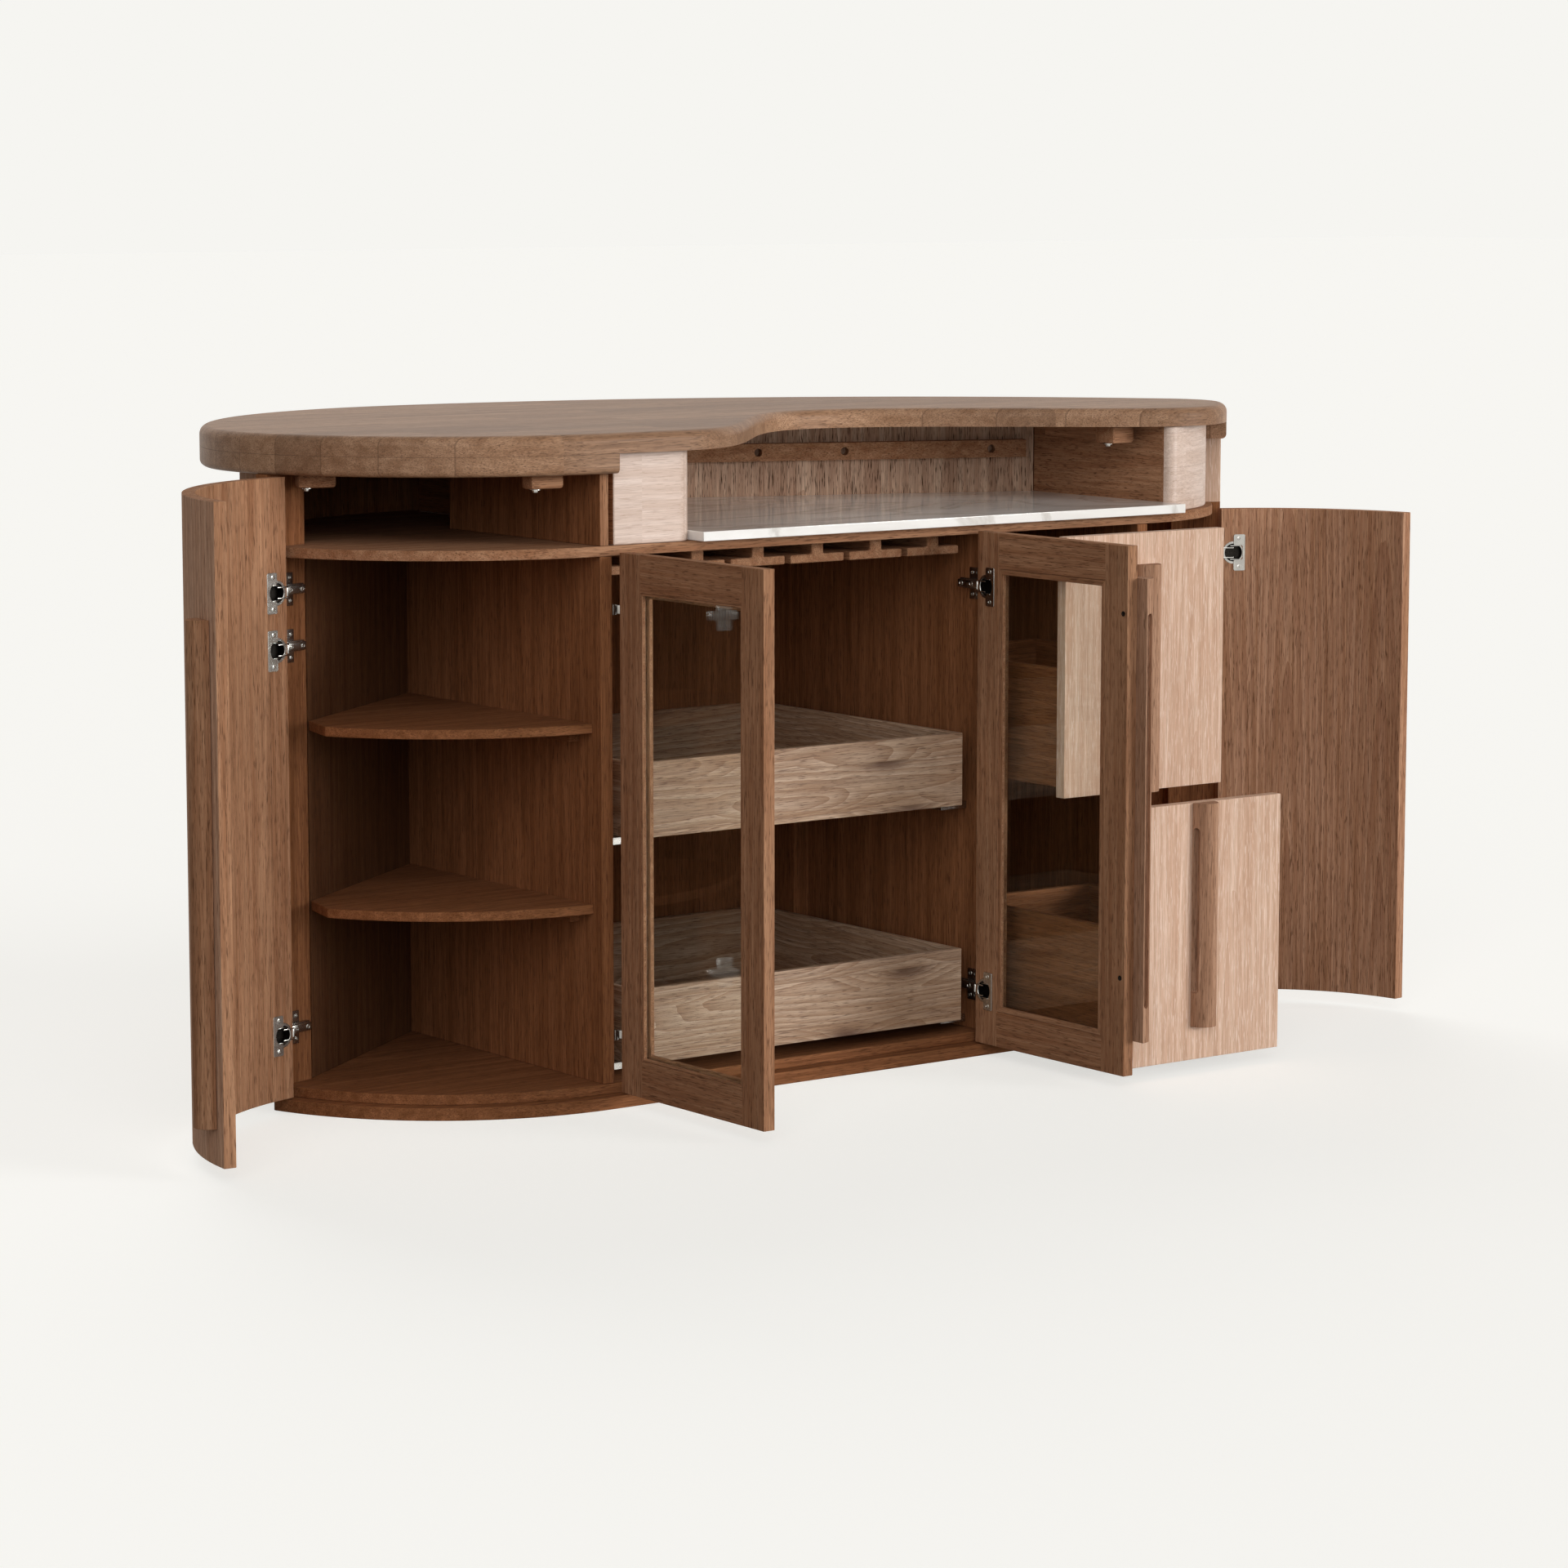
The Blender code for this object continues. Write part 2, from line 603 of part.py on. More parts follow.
# Hinges: a fixed arm on the carcass that the cup hole in the door swallows when it shuts
def hinge_arm(name, pivot, main, inn, face, gap, heights):
    """Arm of one hinge, or of two on one plate, on a carcass face given as (corner, way off it, way in)."""
    corner_at, off, deep = face
    nose = DOOR_T + gap
    tip_u = nose + NOSE_T
    loop = [local(corner_at, off, deep, SEAT, ARM_Y0)]
    loop += [local(pivot, main, inn, u, v)
             for u, v in ((nose, ARM_Y0), (nose, NOSE_Y), (tip_u, NOSE_Y), (tip_u, ARM_Y1))]
    loop.append(local(corner_at, off, deep, SEAT, ARM_Y1))
    arm = board(name, [loop], heights[0] - ARM_H / 2, heights[0] + ARM_H / 2, STEEL)
    for z in heights[1:]:
        more = board(name + "_more", [loop], z - ARM_H / 2, z + ARM_H / 2, STEEL, tools)
        flat = rect(SEAT, PLATE_T, ARM_Y0 + PLATE_T, ARM_Y1 - PLATE_T)
        strap = [local(corner_at, off, deep, u, v) for u, v in flat]
        plate = board(name + "_plate", [strap], heights[0], z, STEEL, tools)
        combine(arm, plate, "UNION")
        combine(arm, more, "UNION")
    return arm


def cup_hole(door, pivot, main, inn, z):
    """Blind hole for a hinge cup in the inner face of a shut door."""
    bpy.ops.mesh.primitive_cylinder_add(vertices=28, radius=CUP_R, depth=2 * CUP_DEPTH)
    cup = bpy.context.object
    turn = Matrix.Rotation(math.atan2(inn.y, inn.x), 4, "Z") @ Matrix.Rotation(math.pi / 2, 4, "Y")
    at = local(pivot, main, inn, CUP_IN - PIVOT_IN, DOOR_T)
    cup.data.transform(Matrix.Translation((at.x, at.y, z)) @ turn)
    tools.objects.link(cup)
    combine(door, cup, "DIFFERENCE")


def handle(name, origin, main, out, z0, z1, groove, low_end, high_end):
    """Half-round bar on a face, with a finger groove along one flank."""
    half = HANDLE_W / 2
    section = [local(origin, main, out, half * math.cos(a), SEAT + HANDLE_D * math.sin(a))
               for a in (math.pi * k / 14 for k in range(15))]
    bar = board(name, [section], z0, z1, OAK)
    r = GROOVE_W / 2
    g0, g1 = z0 + low_end, z1 - high_end
    slot = corner(0.0, g1 - r, r, 0.0, 180.0, 6) + corner(0.0, g0 + r, r, 180.0, 360.0, 6)
    side = main * groove
    frame = Matrix(((out.x, 0.0, side.x, 0.0), (out.y, 0.0, side.y, 0.0),
                    (0.0, 1.0, 0.0, 0.0), (0.0, 0.0, 0.0, 1.0)))
    at = local(origin, main, out, groove * (half - GROOVE_D), SEAT + 0.3 * HANDLE_D)
    place = Matrix.Translation((at.x, at.y, 0.0)) @ frame
    cutter = prism(name + "_groove", [slot], 2 * GROOVE_D, OAK, place, tools)
    return combine(bar, cutter, "DIFFERENCE")


EAST = Vector((1.0, 0.0))
NORTH = Vector((0.0, 1.0))

# Glazed doors
meet_x = REVEAL / 2
for sign, name in ((1.0, "left"), (-1.0, "right")):
    main = EAST * sign
    hinge_x = sign * (X_LEFT - OVERLAY)
    free_x = -sign * meet_x
    pivot = Vector((hinge_x + sign * PIVOT_IN, FACE_Y))
    pivot3 = (pivot.x, pivot.y, DOOR_Z0)
    low, high = min(hinge_x, free_x), max(hinge_x, free_x)
    outer = rect(low, high, DOOR_Z0, DOOR_Z1)
    inner = rect(low + STILE_W, high - STILE_W, DOOR_Z0 + DOOR_RAIL_W, DOOR_Z1 - DOOR_RAIL_W)
    lay = Matrix.Translation((0.0, DOOR_BACK, 0.0)) @ upright
    frame = prism("glass_door_%s_frame" % name, [outer, inner], DOOR_T, OAK, lay)
    for z in GLASS_HINGES:
        cup_hole(frame, pivot, main, NORTH, z)
    mid_y = FACE_Y + DOOR_T / 2
    pane = box("glass_door_%s_pane" % name, inner[0][0] + SEAT, inner[1][0] - SEAT,
               mid_y - PANE_T / 2, mid_y + PANE_T / 2, inner[0][1] + SEAT, inner[2][1] - SEAT, GLASS)
    turn = -sign * GLASS_OPEN
    stand(frame, pivot3, turn)
    stand(pane, pivot3, turn)
    if sign < 0:
        bar = handle("glass_door_right_handle", Vector((free_x, FACE_Y)), EAST, -NORTH,
                     HANDLE_Z0, HANDLE_Z1, -1.0, GROOVE_END, GROOVE_END)
        stand(bar, pivot3, turn)
    face = (Vector((sign * X_LEFT, FACE_Y)), main, NORTH)
    for z, which in zip(GLASS_HINGES, ("low", "high")):
        hinge_arm("glass_door_%s_hinge_%s" % (name, which), pivot, main, NORTH, face,
                  NOSE_GAP_FLAT, (z,))

# Curved doors at the two ends
for left, name, radius, z1, opened in ((True, "left", R_LEFT, LEFT_DOOR_Z1, -LEFT_OPEN),
                                       (False, "right", R_RIGHT, DOOR_Z1, RIGHT_OPEN)):
    sign = 1.0 if left else -1.0
    post_h = HEADINGS[1] if left else HEADINGS[5]
    edge_h = post_h + sign * math.degrees(REVEAL / radius)
    pivot_h = post_h + sign * math.degrees((REVEAL + PIVOT_IN) / radius)
    grip_h = (HEADINGS[0] if left else HEADINGS[6]) - sign * math.degrees(HANDLE_IN / radius)
    flat_h = HEADINGS[0] if left else HEADINGS[6]
    if left:
        free = X_LEFT - OVERLAY - REVEAL
        outside = [Vector((free, FACE_Y))] + outline(0.0, flat_h, edge_h)
        inside = [Vector((free, DOOR_BACK))] + outline(DOOR_T, flat_h, edge_h)
    else:
        free = X_P3 + PART_T / 2 + OVERLAY + REVEAL
        outside = [Vector((free, FACE_Y))] + outline(0.0, edge_h, flat_h)[::-1]
        inside = [Vector((free, DOOR_BACK))] + outline(DOOR_T, edge_h, flat_h)[::-1]
    pivot = on_outline(pivot_h)
    main = -along(pivot_h) * sign
    inn = inward(pivot_h)
    pivot3 = (pivot.x, pivot.y, DOOR_Z0)
    door = board(name + "_door", [outside + inside[::-1]], DOOR_Z0, z1, OAK)
    groups = ([(LEFT_HINGE_LOW,), LEFT_HINGES_HIGH] if left
              else [(RIGHT_HINGES[0],), (RIGHT_HINGES[1],)])
    for heights, which in zip(groups, ("low", "high")):
        for z in heights:
            cup_hole(door, pivot, main, inn, z)
        hinge_arm("%s_door_hinge_%s" % (name, which), pivot, main, inn, post_frame(left)[:3],
                  NOSE_GAP_CURVED, heights)
    stand(door, pivot3, opened)
    grip = on_outline(grip_h, -SEAT)
    bar = handle(name + "_door_handle", grip, -along(grip_h) * sign, -inward(grip_h),
                 HANDLE_Z0, HANDLE_Z1, 1.0, GROOVE_END, GROOVE_END)
    stand(bar, pivot3, opened)


def open_box(name, x0, x1, y0, y1, z0, z1, side, mat):
    """Sides, back and bottom of a drawer glued up as one, open at the front and on top."""
    loop = [(x0, y0), (x0 + side, y0), (x0 + side, y1 - side), (x1 - side, y1 - side),
            (x1 - side, y0), (x1, y0), (x1, y1), (x0, y1)]
    walls = board(name, [loop], z0, z1, mat)
    floor_z = z0 + BOX_BOTTOM_UP
    floor = box(name + "_floor", x0 + side / 2, x1 - side / 2, y0, y1 - side / 2,
                floor_z, floor_z + BOX_BOTTOM_T, mat, tools)
    return combine(walls, floor, "UNION")


# Drawers
front_x0 = X_RIGHT + OVERLAY + REVEAL
front_x1 = X_P3 + PART_T / 2 + OVERLAY
box_x0 = X_RIGHT + PART_T + DRAWER_SIDE_GAP
box_x1 = X_P3 - DRAWER_SIDE_GAP
grip = Vector(((front_x0 + front_x1) / 2, FACE_Y))
fronts = ((DOOR_Z0, DRAWER_SPLIT - REVEAL / 2), (DRAWER_SPLIT + REVEAL / 2, DOOR_Z1))
bars = ((HANDLE_Z0, fronts[0][1], GROOVE_END, GROOVE_SPLIT),
        (fronts[1][0], HANDLE_Z1, GROOVE_SPLIT, GROOVE_END))
for i, name in enumerate(("lower", "upper")):
    z0, z1 = fronts[i]
    pieces = [box("drawer_%s_front" % name, front_x0, front_x1, FACE_Y, DOOR_BACK, z0, z1, OAK)]
    pieces.append(open_box("drawer_%s_box" % name, box_x0, box_x1, DOOR_BACK + SEAT,
                           DOOR_BACK + DRAWER_BOX_L, DRAWER_BOX_Z[i],
                           DRAWER_BOX_Z[i] + DRAWER_BOX_H, DRAWER_SIDE_T, OAK_DARK))
    h0, h1, low_end, high_end = bars[i]
    pieces.append(handle("drawer_%s_handle" % name, grip, EAST, -NORTH, h0, h1, -1.0,
                         low_end, high_end))
    for piece in pieces:
        stand(piece, (grip.x, FACE_Y, z0), 0.0, (0.0, -DRAWER_OUT[i], 0.0))

# Trays behind the glazed doors
for z0, name in zip(TRAY_Z, ("lower", "upper")):
    tray_y = py(TRAY_Y0)
    half = TRAY_W / 2
    pieces = [box("tray_%s_front" % name, -half, half, tray_y, tray_y + TRAY_FRONT_T,
                  z0, z0 + TRAY_H, MANGO)]
    pieces.append(open_box("tray_%s_box" % name, -half, half, tray_y + TRAY_FRONT_T + SEAT,
                           tray_y + TRAY_L, z0, z0 + TRAY_H, TRAY_SIDE_T, MANGO))
    for piece in pieces:
        stand(piece, (0.0, tray_y, z0))


def carrier(name, wall, sign, reach, bottoms, y0, y1, standard):
    """Two runner ledges on one upright, fixed to the face of a partition."""
    near = wall + sign * SEAT
    far = wall + sign * reach
    back = wall + sign * standard
    xs = sorted((near, far))
    ys = sorted((near, back))
    low, high = (z - SEAT for z in bottoms)
    first = box(name, xs[0], xs[1], y0, y1, low - LEDGE_T, low, STEEL)
    post = box(name + "_post", ys[0], ys[1], y1 - STANDARD_L, y1 - 0.002, low - LEDGE_T / 2,
               high - LEDGE_T / 2, STEEL, tools)
    second = box(name + "_high", xs[0], xs[1], y0, y1, high - LEDGE_T, high, STEEL, tools)
    combine(first, post, "UNION")
    return combine(first, second, "UNION")


for wall, sign, name in ((X_LEFT, 1.0, "left"), (X_RIGHT, -1.0, "right")):
    carrier("tray_carrier_" + name, wall, sign, TRAY_SIDE_GAP + LEDGE_IN, TRAY_Z,
            py(TRAY_LEDGE_Y[0]), py(TRAY_LEDGE_Y[1]), TRAY_SIDE_GAP - 0.010)
for wall, sign, name in ((X_RIGHT + PART_T, 1.0, "left"), (X_P3, -1.0, "right")):
    carrier("drawer_carrier_" + name, wall, sign, DRAWER_SIDE_GAP + LEDGE_IN, DRAWER_BOX_Z,
            py(DRAWER_LEDGE_Y[0]), py(DRAWER_LEDGE_Y[1]), DRAWER_SIDE_GAP - 0.001)

for spare in list(tools.objects):
    bpy.data.objects.remove(spare)
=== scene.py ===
# %% [markdown]
# # Dressing a home bar counter
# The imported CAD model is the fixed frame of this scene. Every board, door, drawer and tray is already
# in its true place there, in metres, with the floor at zero height. This lesson gives each of them the
# eased edges, veneers, stone, glass and fittings of the real counter, and leaves the sizes alone.

# %% Load the frame
import json
import math
import random

import bmesh
import bpy
import numpy as np
from mathutils import Matrix, Vector
from mathutils.bvhtree import BVHTree

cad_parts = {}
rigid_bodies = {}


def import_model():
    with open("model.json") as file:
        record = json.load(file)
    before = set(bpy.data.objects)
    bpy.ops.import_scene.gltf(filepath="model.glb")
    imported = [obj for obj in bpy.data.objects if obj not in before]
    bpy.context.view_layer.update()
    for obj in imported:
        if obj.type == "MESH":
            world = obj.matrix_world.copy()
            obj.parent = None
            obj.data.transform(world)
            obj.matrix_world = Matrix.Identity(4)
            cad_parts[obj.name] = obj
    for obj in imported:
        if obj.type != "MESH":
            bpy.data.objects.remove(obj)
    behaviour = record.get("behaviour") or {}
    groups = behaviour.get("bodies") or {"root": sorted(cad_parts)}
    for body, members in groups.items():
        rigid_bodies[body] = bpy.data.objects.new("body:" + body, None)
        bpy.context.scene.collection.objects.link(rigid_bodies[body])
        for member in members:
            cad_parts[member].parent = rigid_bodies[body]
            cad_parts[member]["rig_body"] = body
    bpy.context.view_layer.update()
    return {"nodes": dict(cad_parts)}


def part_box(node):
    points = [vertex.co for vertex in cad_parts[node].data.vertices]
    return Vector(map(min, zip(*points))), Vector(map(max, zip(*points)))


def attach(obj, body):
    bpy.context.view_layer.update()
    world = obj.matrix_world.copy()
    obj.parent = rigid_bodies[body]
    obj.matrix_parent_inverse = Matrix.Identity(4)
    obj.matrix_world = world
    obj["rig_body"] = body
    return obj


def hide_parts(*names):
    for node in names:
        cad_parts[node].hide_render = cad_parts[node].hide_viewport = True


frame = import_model()
scene = bpy.context.scene
scene.view_settings.view_transform = "Standard"

# %% [markdown]
# ## The camera
# The counter is seen from the working side and from its left, a little from above. A long lens from
# some eight metres away keeps the upright lines close to upright. A level camera with a shifted lens
# could keep them exactly so, but that shift would push the counter out of every other view.

# %% Camera
LENS_MM, SENSOR_MM = 107.328, 36.0
CAMERA_PLACE = (-4.4405, -6.3029, 1.4633)
CAMERA_TILT, CAMERA_TURN = 82.399, -36.6946      # degrees up from straight down, and round from +Y
lens = bpy.data.cameras.new("camera")
lens.lens, lens.sensor_width = LENS_MM, SENSOR_MM
lens.clip_end = 200.0
camera = bpy.data.objects.new("camera", lens)
camera.location = CAMERA_PLACE
camera.rotation_euler = (math.radians(CAMERA_TILT), 0, math.radians(CAMERA_TURN))
scene.collection.objects.link(camera)
scene.camera = camera
print("camera at", CAMERA_PLACE)

# %% [markdown]
# ## Colours and nodes
# Colours are written as the screen shows them, and Blender works in linear light, so one function
# turns a hex value to linear. A second small function adds a shader node, sets it and links it.
# It is enough for every material below.

# %% Hex colours and one node helper
def linear(code):
    channels = [int(code[i:i + 2], 16) / 255 for i in (1, 3, 5)]
    return tuple(c / 12.92 if c <= 0.04045 else ((c + 0.055) / 1.055) ** 2.4
                 for c in channels) + (1.0,)


def add(tree, kind, sockets=None, **settings):
    node = tree.nodes.new(kind)
    for name, value in settings.items():
        setattr(node, name, value)
    for name, value in (sockets or {}).items():
        socket = node.inputs[name]
        if isinstance(value, bpy.types.NodeSocket):
            tree.links.new(value, socket)
        else:
            socket.default_value = value
    return node


PALE = "#F6F5F1"
print("pale ground in linear light:", [round(c, 3) for c in linear(PALE)])

# %% [markdown]
# ## Floor, sky and light
# The counter stands on one plain pale ground without a horizon. The floor and the sky share a colour:
# the camera, reflections and panes see that colour, and the floor also takes a soft shadow from a plain
# diffuse part. The key light is a wide soft source low on the right of the working side, which leaves
# the left of each open bay in shade. A weaker one stands by the camera, a third lights the top and
# the guests' side from behind, and the sky fills the rest.

# %% Sky
SKY_FILL = 0.12


def seen_directly(tree):
    rays = add(tree, "ShaderNodeLightPath").outputs
    seen = rays["Is Camera Ray"]
    for ray in ("Is Glossy Ray", "Is Transmission Ray"):
        seen = add(tree, "ShaderNodeMath", {0: seen, 1: rays[ray]}, operation="MAXIMUM").outputs[0]
    return seen


world = bpy.data.worlds.new("studio_sky")
scene.world = world
world.use_nodes = True
sky = world.node_tree
sky.nodes.clear()
fill = add(sky, "ShaderNodeBackground", {"Color": linear("#FFFDFA"), "Strength": SKY_FILL})
ground = add(sky, "ShaderNodeBackground", {"Color": linear(PALE), "Strength": 1.0})
both = add(sky, "ShaderNodeMixShader", {0: seen_directly(sky), 1: fill.outputs[0],
                                        2: ground.outputs[0]})
add(sky, "ShaderNodeOutputWorld", {"Surface": both.outputs[0]})
print("sky fill", SKY_FILL, "seen as", PALE)

# %% Key light, fill light and back light
# Name, strength, width in degrees, and the way the light travels
LAMPS = (("key_light", 3.0, 30, (-0.58, 0.80, -0.10)),
         ("fill_light", 1.3, 50, (0.52, 0.75, -0.40)),
         ("back_light", 1.5, 50, (-0.30, -0.85, -0.42)))
floor_light = SKY_FILL
for name, power, width, travel in LAMPS:
    lamp_data = bpy.data.lights.new(name, "SUN")
    lamp_data.energy, lamp_data.angle = power, math.radians(width)
    lamp = bpy.data.objects.new(name, lamp_data)
    lamp.rotation_euler = Vector(travel).to_track_quat("-Z", "Y").to_euler()
    lamp.visible_glossy = name != "back_light"     # it would glare on the lacquered top
    scene.collection.objects.link(lamp)
    floor_light -= power * Vector(travel).normalized().z / math.pi
print("an open spot of the floor gets", round(floor_light, 3))

# %% Floor
FLOOR_HALF = 60.0         # metres from the middle to each side, past everything a camera sees
SHADOW_SHARE = 0.30       # share of the seen floor that takes the shadow
bm = bmesh.new()
bmesh.ops.create_grid(bm, x_segments=1, y_segments=1, size=FLOOR_HALF)
floor_mesh = bpy.data.meshes.new("floor")
bm.to_mesh(floor_mesh)
bm.free()
floor = bpy.data.objects.new("floor", floor_mesh)
scene.collection.objects.link(floor)

# Matt paper: it glows in its own colour, and only its diffuse share darkens under the counter
paper = bpy.data.materials.new("pale_studio_paper")
paper.use_nodes = True
tree = paper.node_tree
tree.nodes.clear()
matte = add(tree, "ShaderNodeBsdfDiffuse",
            {"Color": [c * SHADOW_SHARE / floor_light for c in linear(PALE)[:3]] + [1.0]})
glow = add(tree, "ShaderNodeEmission", {"Color": linear(PALE), "Strength": 1 - SHADOW_SHARE})
shown = add(tree, "ShaderNodeAddShader", {0: matte.outputs[0], 1: glow.outputs[0]})
bounce = add(tree, "ShaderNodeBsdfDiffuse", {"Color": linear("#8A8784")})
ground = add(tree, "ShaderNodeMixShader", {0: seen_directly(tree), 1: bounce.outputs[0],
                                           2: shown.outputs[0]})
add(tree, "ShaderNodeOutputMaterial", {"Surface": ground.outputs[0]})
floor_mesh.materials.append(paper)
print("floor", round(2 * FLOOR_HALF), "m square")

# %% [markdown]
# ## Veneer
# Sliced veneer shows growth rings cut at a slant: nested arches in the middle of a leaf and straight
# lines beside them, short dark pores along the grain, and broad soft streaks. One material can draw
# all of it from a stored coordinate named grain, which runs across, through and along each board.
# A painted picture could do it too, but a pattern in the board's own space also runs over its edges.
# A wide face is laid up from leaves or staves, so the pattern starts afresh in each of them.

# %% Leaves and staves
LEAF_JUMP = (0.3, 0.1, 6.0)         # metres by which the pattern may jump from leaf to leaf
HEART_JUMP = (0.10, 0.03, 1.2)      # metres by which the heart of the rings may move in a leaf


def new_finish(name):
    finish = bpy.data.materials.new(name)
    finish.use_nodes = True
    return finish, finish.node_tree, finish.node_tree.nodes["Principled BSDF"]


def leaves(tree, wide, far, stagger):
    # Rows across the grain, each row stepped along it, each leaf or stave its own wood
    grain = add(tree, "ShaderNodeAttribute", attribute_name="grain").outputs["Vector"]
    x, y, z = add(tree, "ShaderNodeSeparateXYZ", {"Vector": grain}).outputs
    across = add(tree, "ShaderNodeMath", {0: x, 1: wide}, operation="DIVIDE").outputs[0]
    row = add(tree, "ShaderNodeMath", {0: across}, operation="FLOOR").outputs[0]
    along = add(tree, "ShaderNodeMath", {0: z, 1: 1 / far, 2: 0.5}, operation="MULTIPLY_ADD")
    step = add(tree, "ShaderNodeMath", {0: row, 1: stagger, 2: along.outputs[0]},
               operation="MULTIPLY_ADD")
    column = add(tree, "ShaderNodeMath", {0: step.outputs[0]}, operation="FLOOR")
    cell = add(tree, "ShaderNodeCombineXYZ", {"X": row, "Y": column.outputs[0]})
    chance = add(tree, "ShaderNodeTexWhiteNoise", {"Vector": cell.outputs[0]}).outputs
    place = add(tree, "ShaderNodeVectorMath", {0: chance["Color"], 1: LEAF_JUMP, 2: grain},
                operation="MULTIPLY_ADD")
    part = add(tree, "ShaderNodeMath", {0: across}, operation="FRACT")
    inside = add(tree, "ShaderNodeMath", {0: part.outputs[0], 1: 0.5}, operation="SUBTRACT").outputs[0]
    local = add(tree, "ShaderNodeMath", {0: inside, 1: wide}, operation="MULTIPLY")
    leaf = add(tree, "ShaderNodeCombineXYZ", {"X": local.outputs[0], "Y": y, "Z": z})
    heart = add(tree, "ShaderNodeVectorMath", {0: chance["Color"], 1: HEART_JUMP, 2: leaf.outputs[0]},
                operation="MULTIPLY_ADD")
    return place.outputs[0], heart.outputs[0], inside, chance["Value"]


print("a leaf may jump", LEAF_JUMP[2], "m along its log")

# %% Rings and knots
WAVE_PITCH = 0.314                  # metres between the rings of a wave texture at scale 1
# The axis of the rings leans 24 degrees from the board, and the arches are drawn out ten times
RING_AXIS = {"Location": (-0.05, 0, -0.06), "Scale": (1, 1, 0.10),
             "Rotation": (math.radians(24), math.radians(-4), 0)}
KNOT_SPACING = (11, 4, 3.3)         # knots in a metre: one in about 9 by 30 cm


def rings_and_knots(tree, place, heart, ring_mm, wild, knots):
    lean = add(tree, "ShaderNodeMapping", {"Vector": heart, **RING_AXIS}).outputs[0]
    eye = None
    if knots:
        # A knot pushes the rings around it aside, by up to 30 mm, and has a dark eye
        sparse = add(tree, "ShaderNodeMapping", {"Vector": place, "Scale": KNOT_SPACING})
        knot = add(tree, "ShaderNodeTexVoronoi", {"Vector": sparse.outputs[0], "Scale": 1.0})
        push = add(tree, "ShaderNodeMapRange", {"Value": knot.outputs["Distance"], "From Max": 0.55,
                                                "To Min": 0.030, "To Max": 0.0})
        lean = add(tree, "ShaderNodeVectorMath", {0: lean, 1: push.outputs[0]}).outputs[0]
        eye = add(tree, "ShaderNodeMapRange", {"Value": knot.outputs["Distance"], "From Min": 0.05,
                                               "From Max": 0.20, "To Min": knots, "To Max": 0.0})
    rings = add(tree, "ShaderNodeTexWave",
                {"Vector": lean, "Scale": WAVE_PITCH / (ring_mm / 1000), "Distortion": wild,
                 "Detail": 3.0, "Detail Scale": 0.55, "Detail Roughness": 0.6},
                wave_type="RINGS", rings_direction="Z", wave_profile="SAW")
    return rings.outputs["Fac"], eye


print("a knot in about every", round(100 / KNOT_SPACING[2]), "cm along the grain")

# %% [markdown]
# ## One wood, many finishes
# Oak and mango differ in colour, in the width of their rings and in how wild these run, but both are
# layers over a base tone: rings, fibre, pores, knots and glue lines, each mixed in by its own amount.
# So one function builds them all, and a finish is a short list of colours and sizes in millimetres.

# %% Wood from layers
FIBRE_SPACING = (600, 600, 12)      # fibre 1.7 mm wide, coarser than the real one so that it shows
PORE_SPACING = (720, 720, 45)       # pores 1.4 mm wide and 22 mm long, some four times their real width
PORE_DEPTH = 0.0004
STREAKS_ALONG = 2.6                 # streaks in a metre: some tens of centimetres long
SEAM_WIDTH = 0.0012                 # metres that darken on each side of a glue line


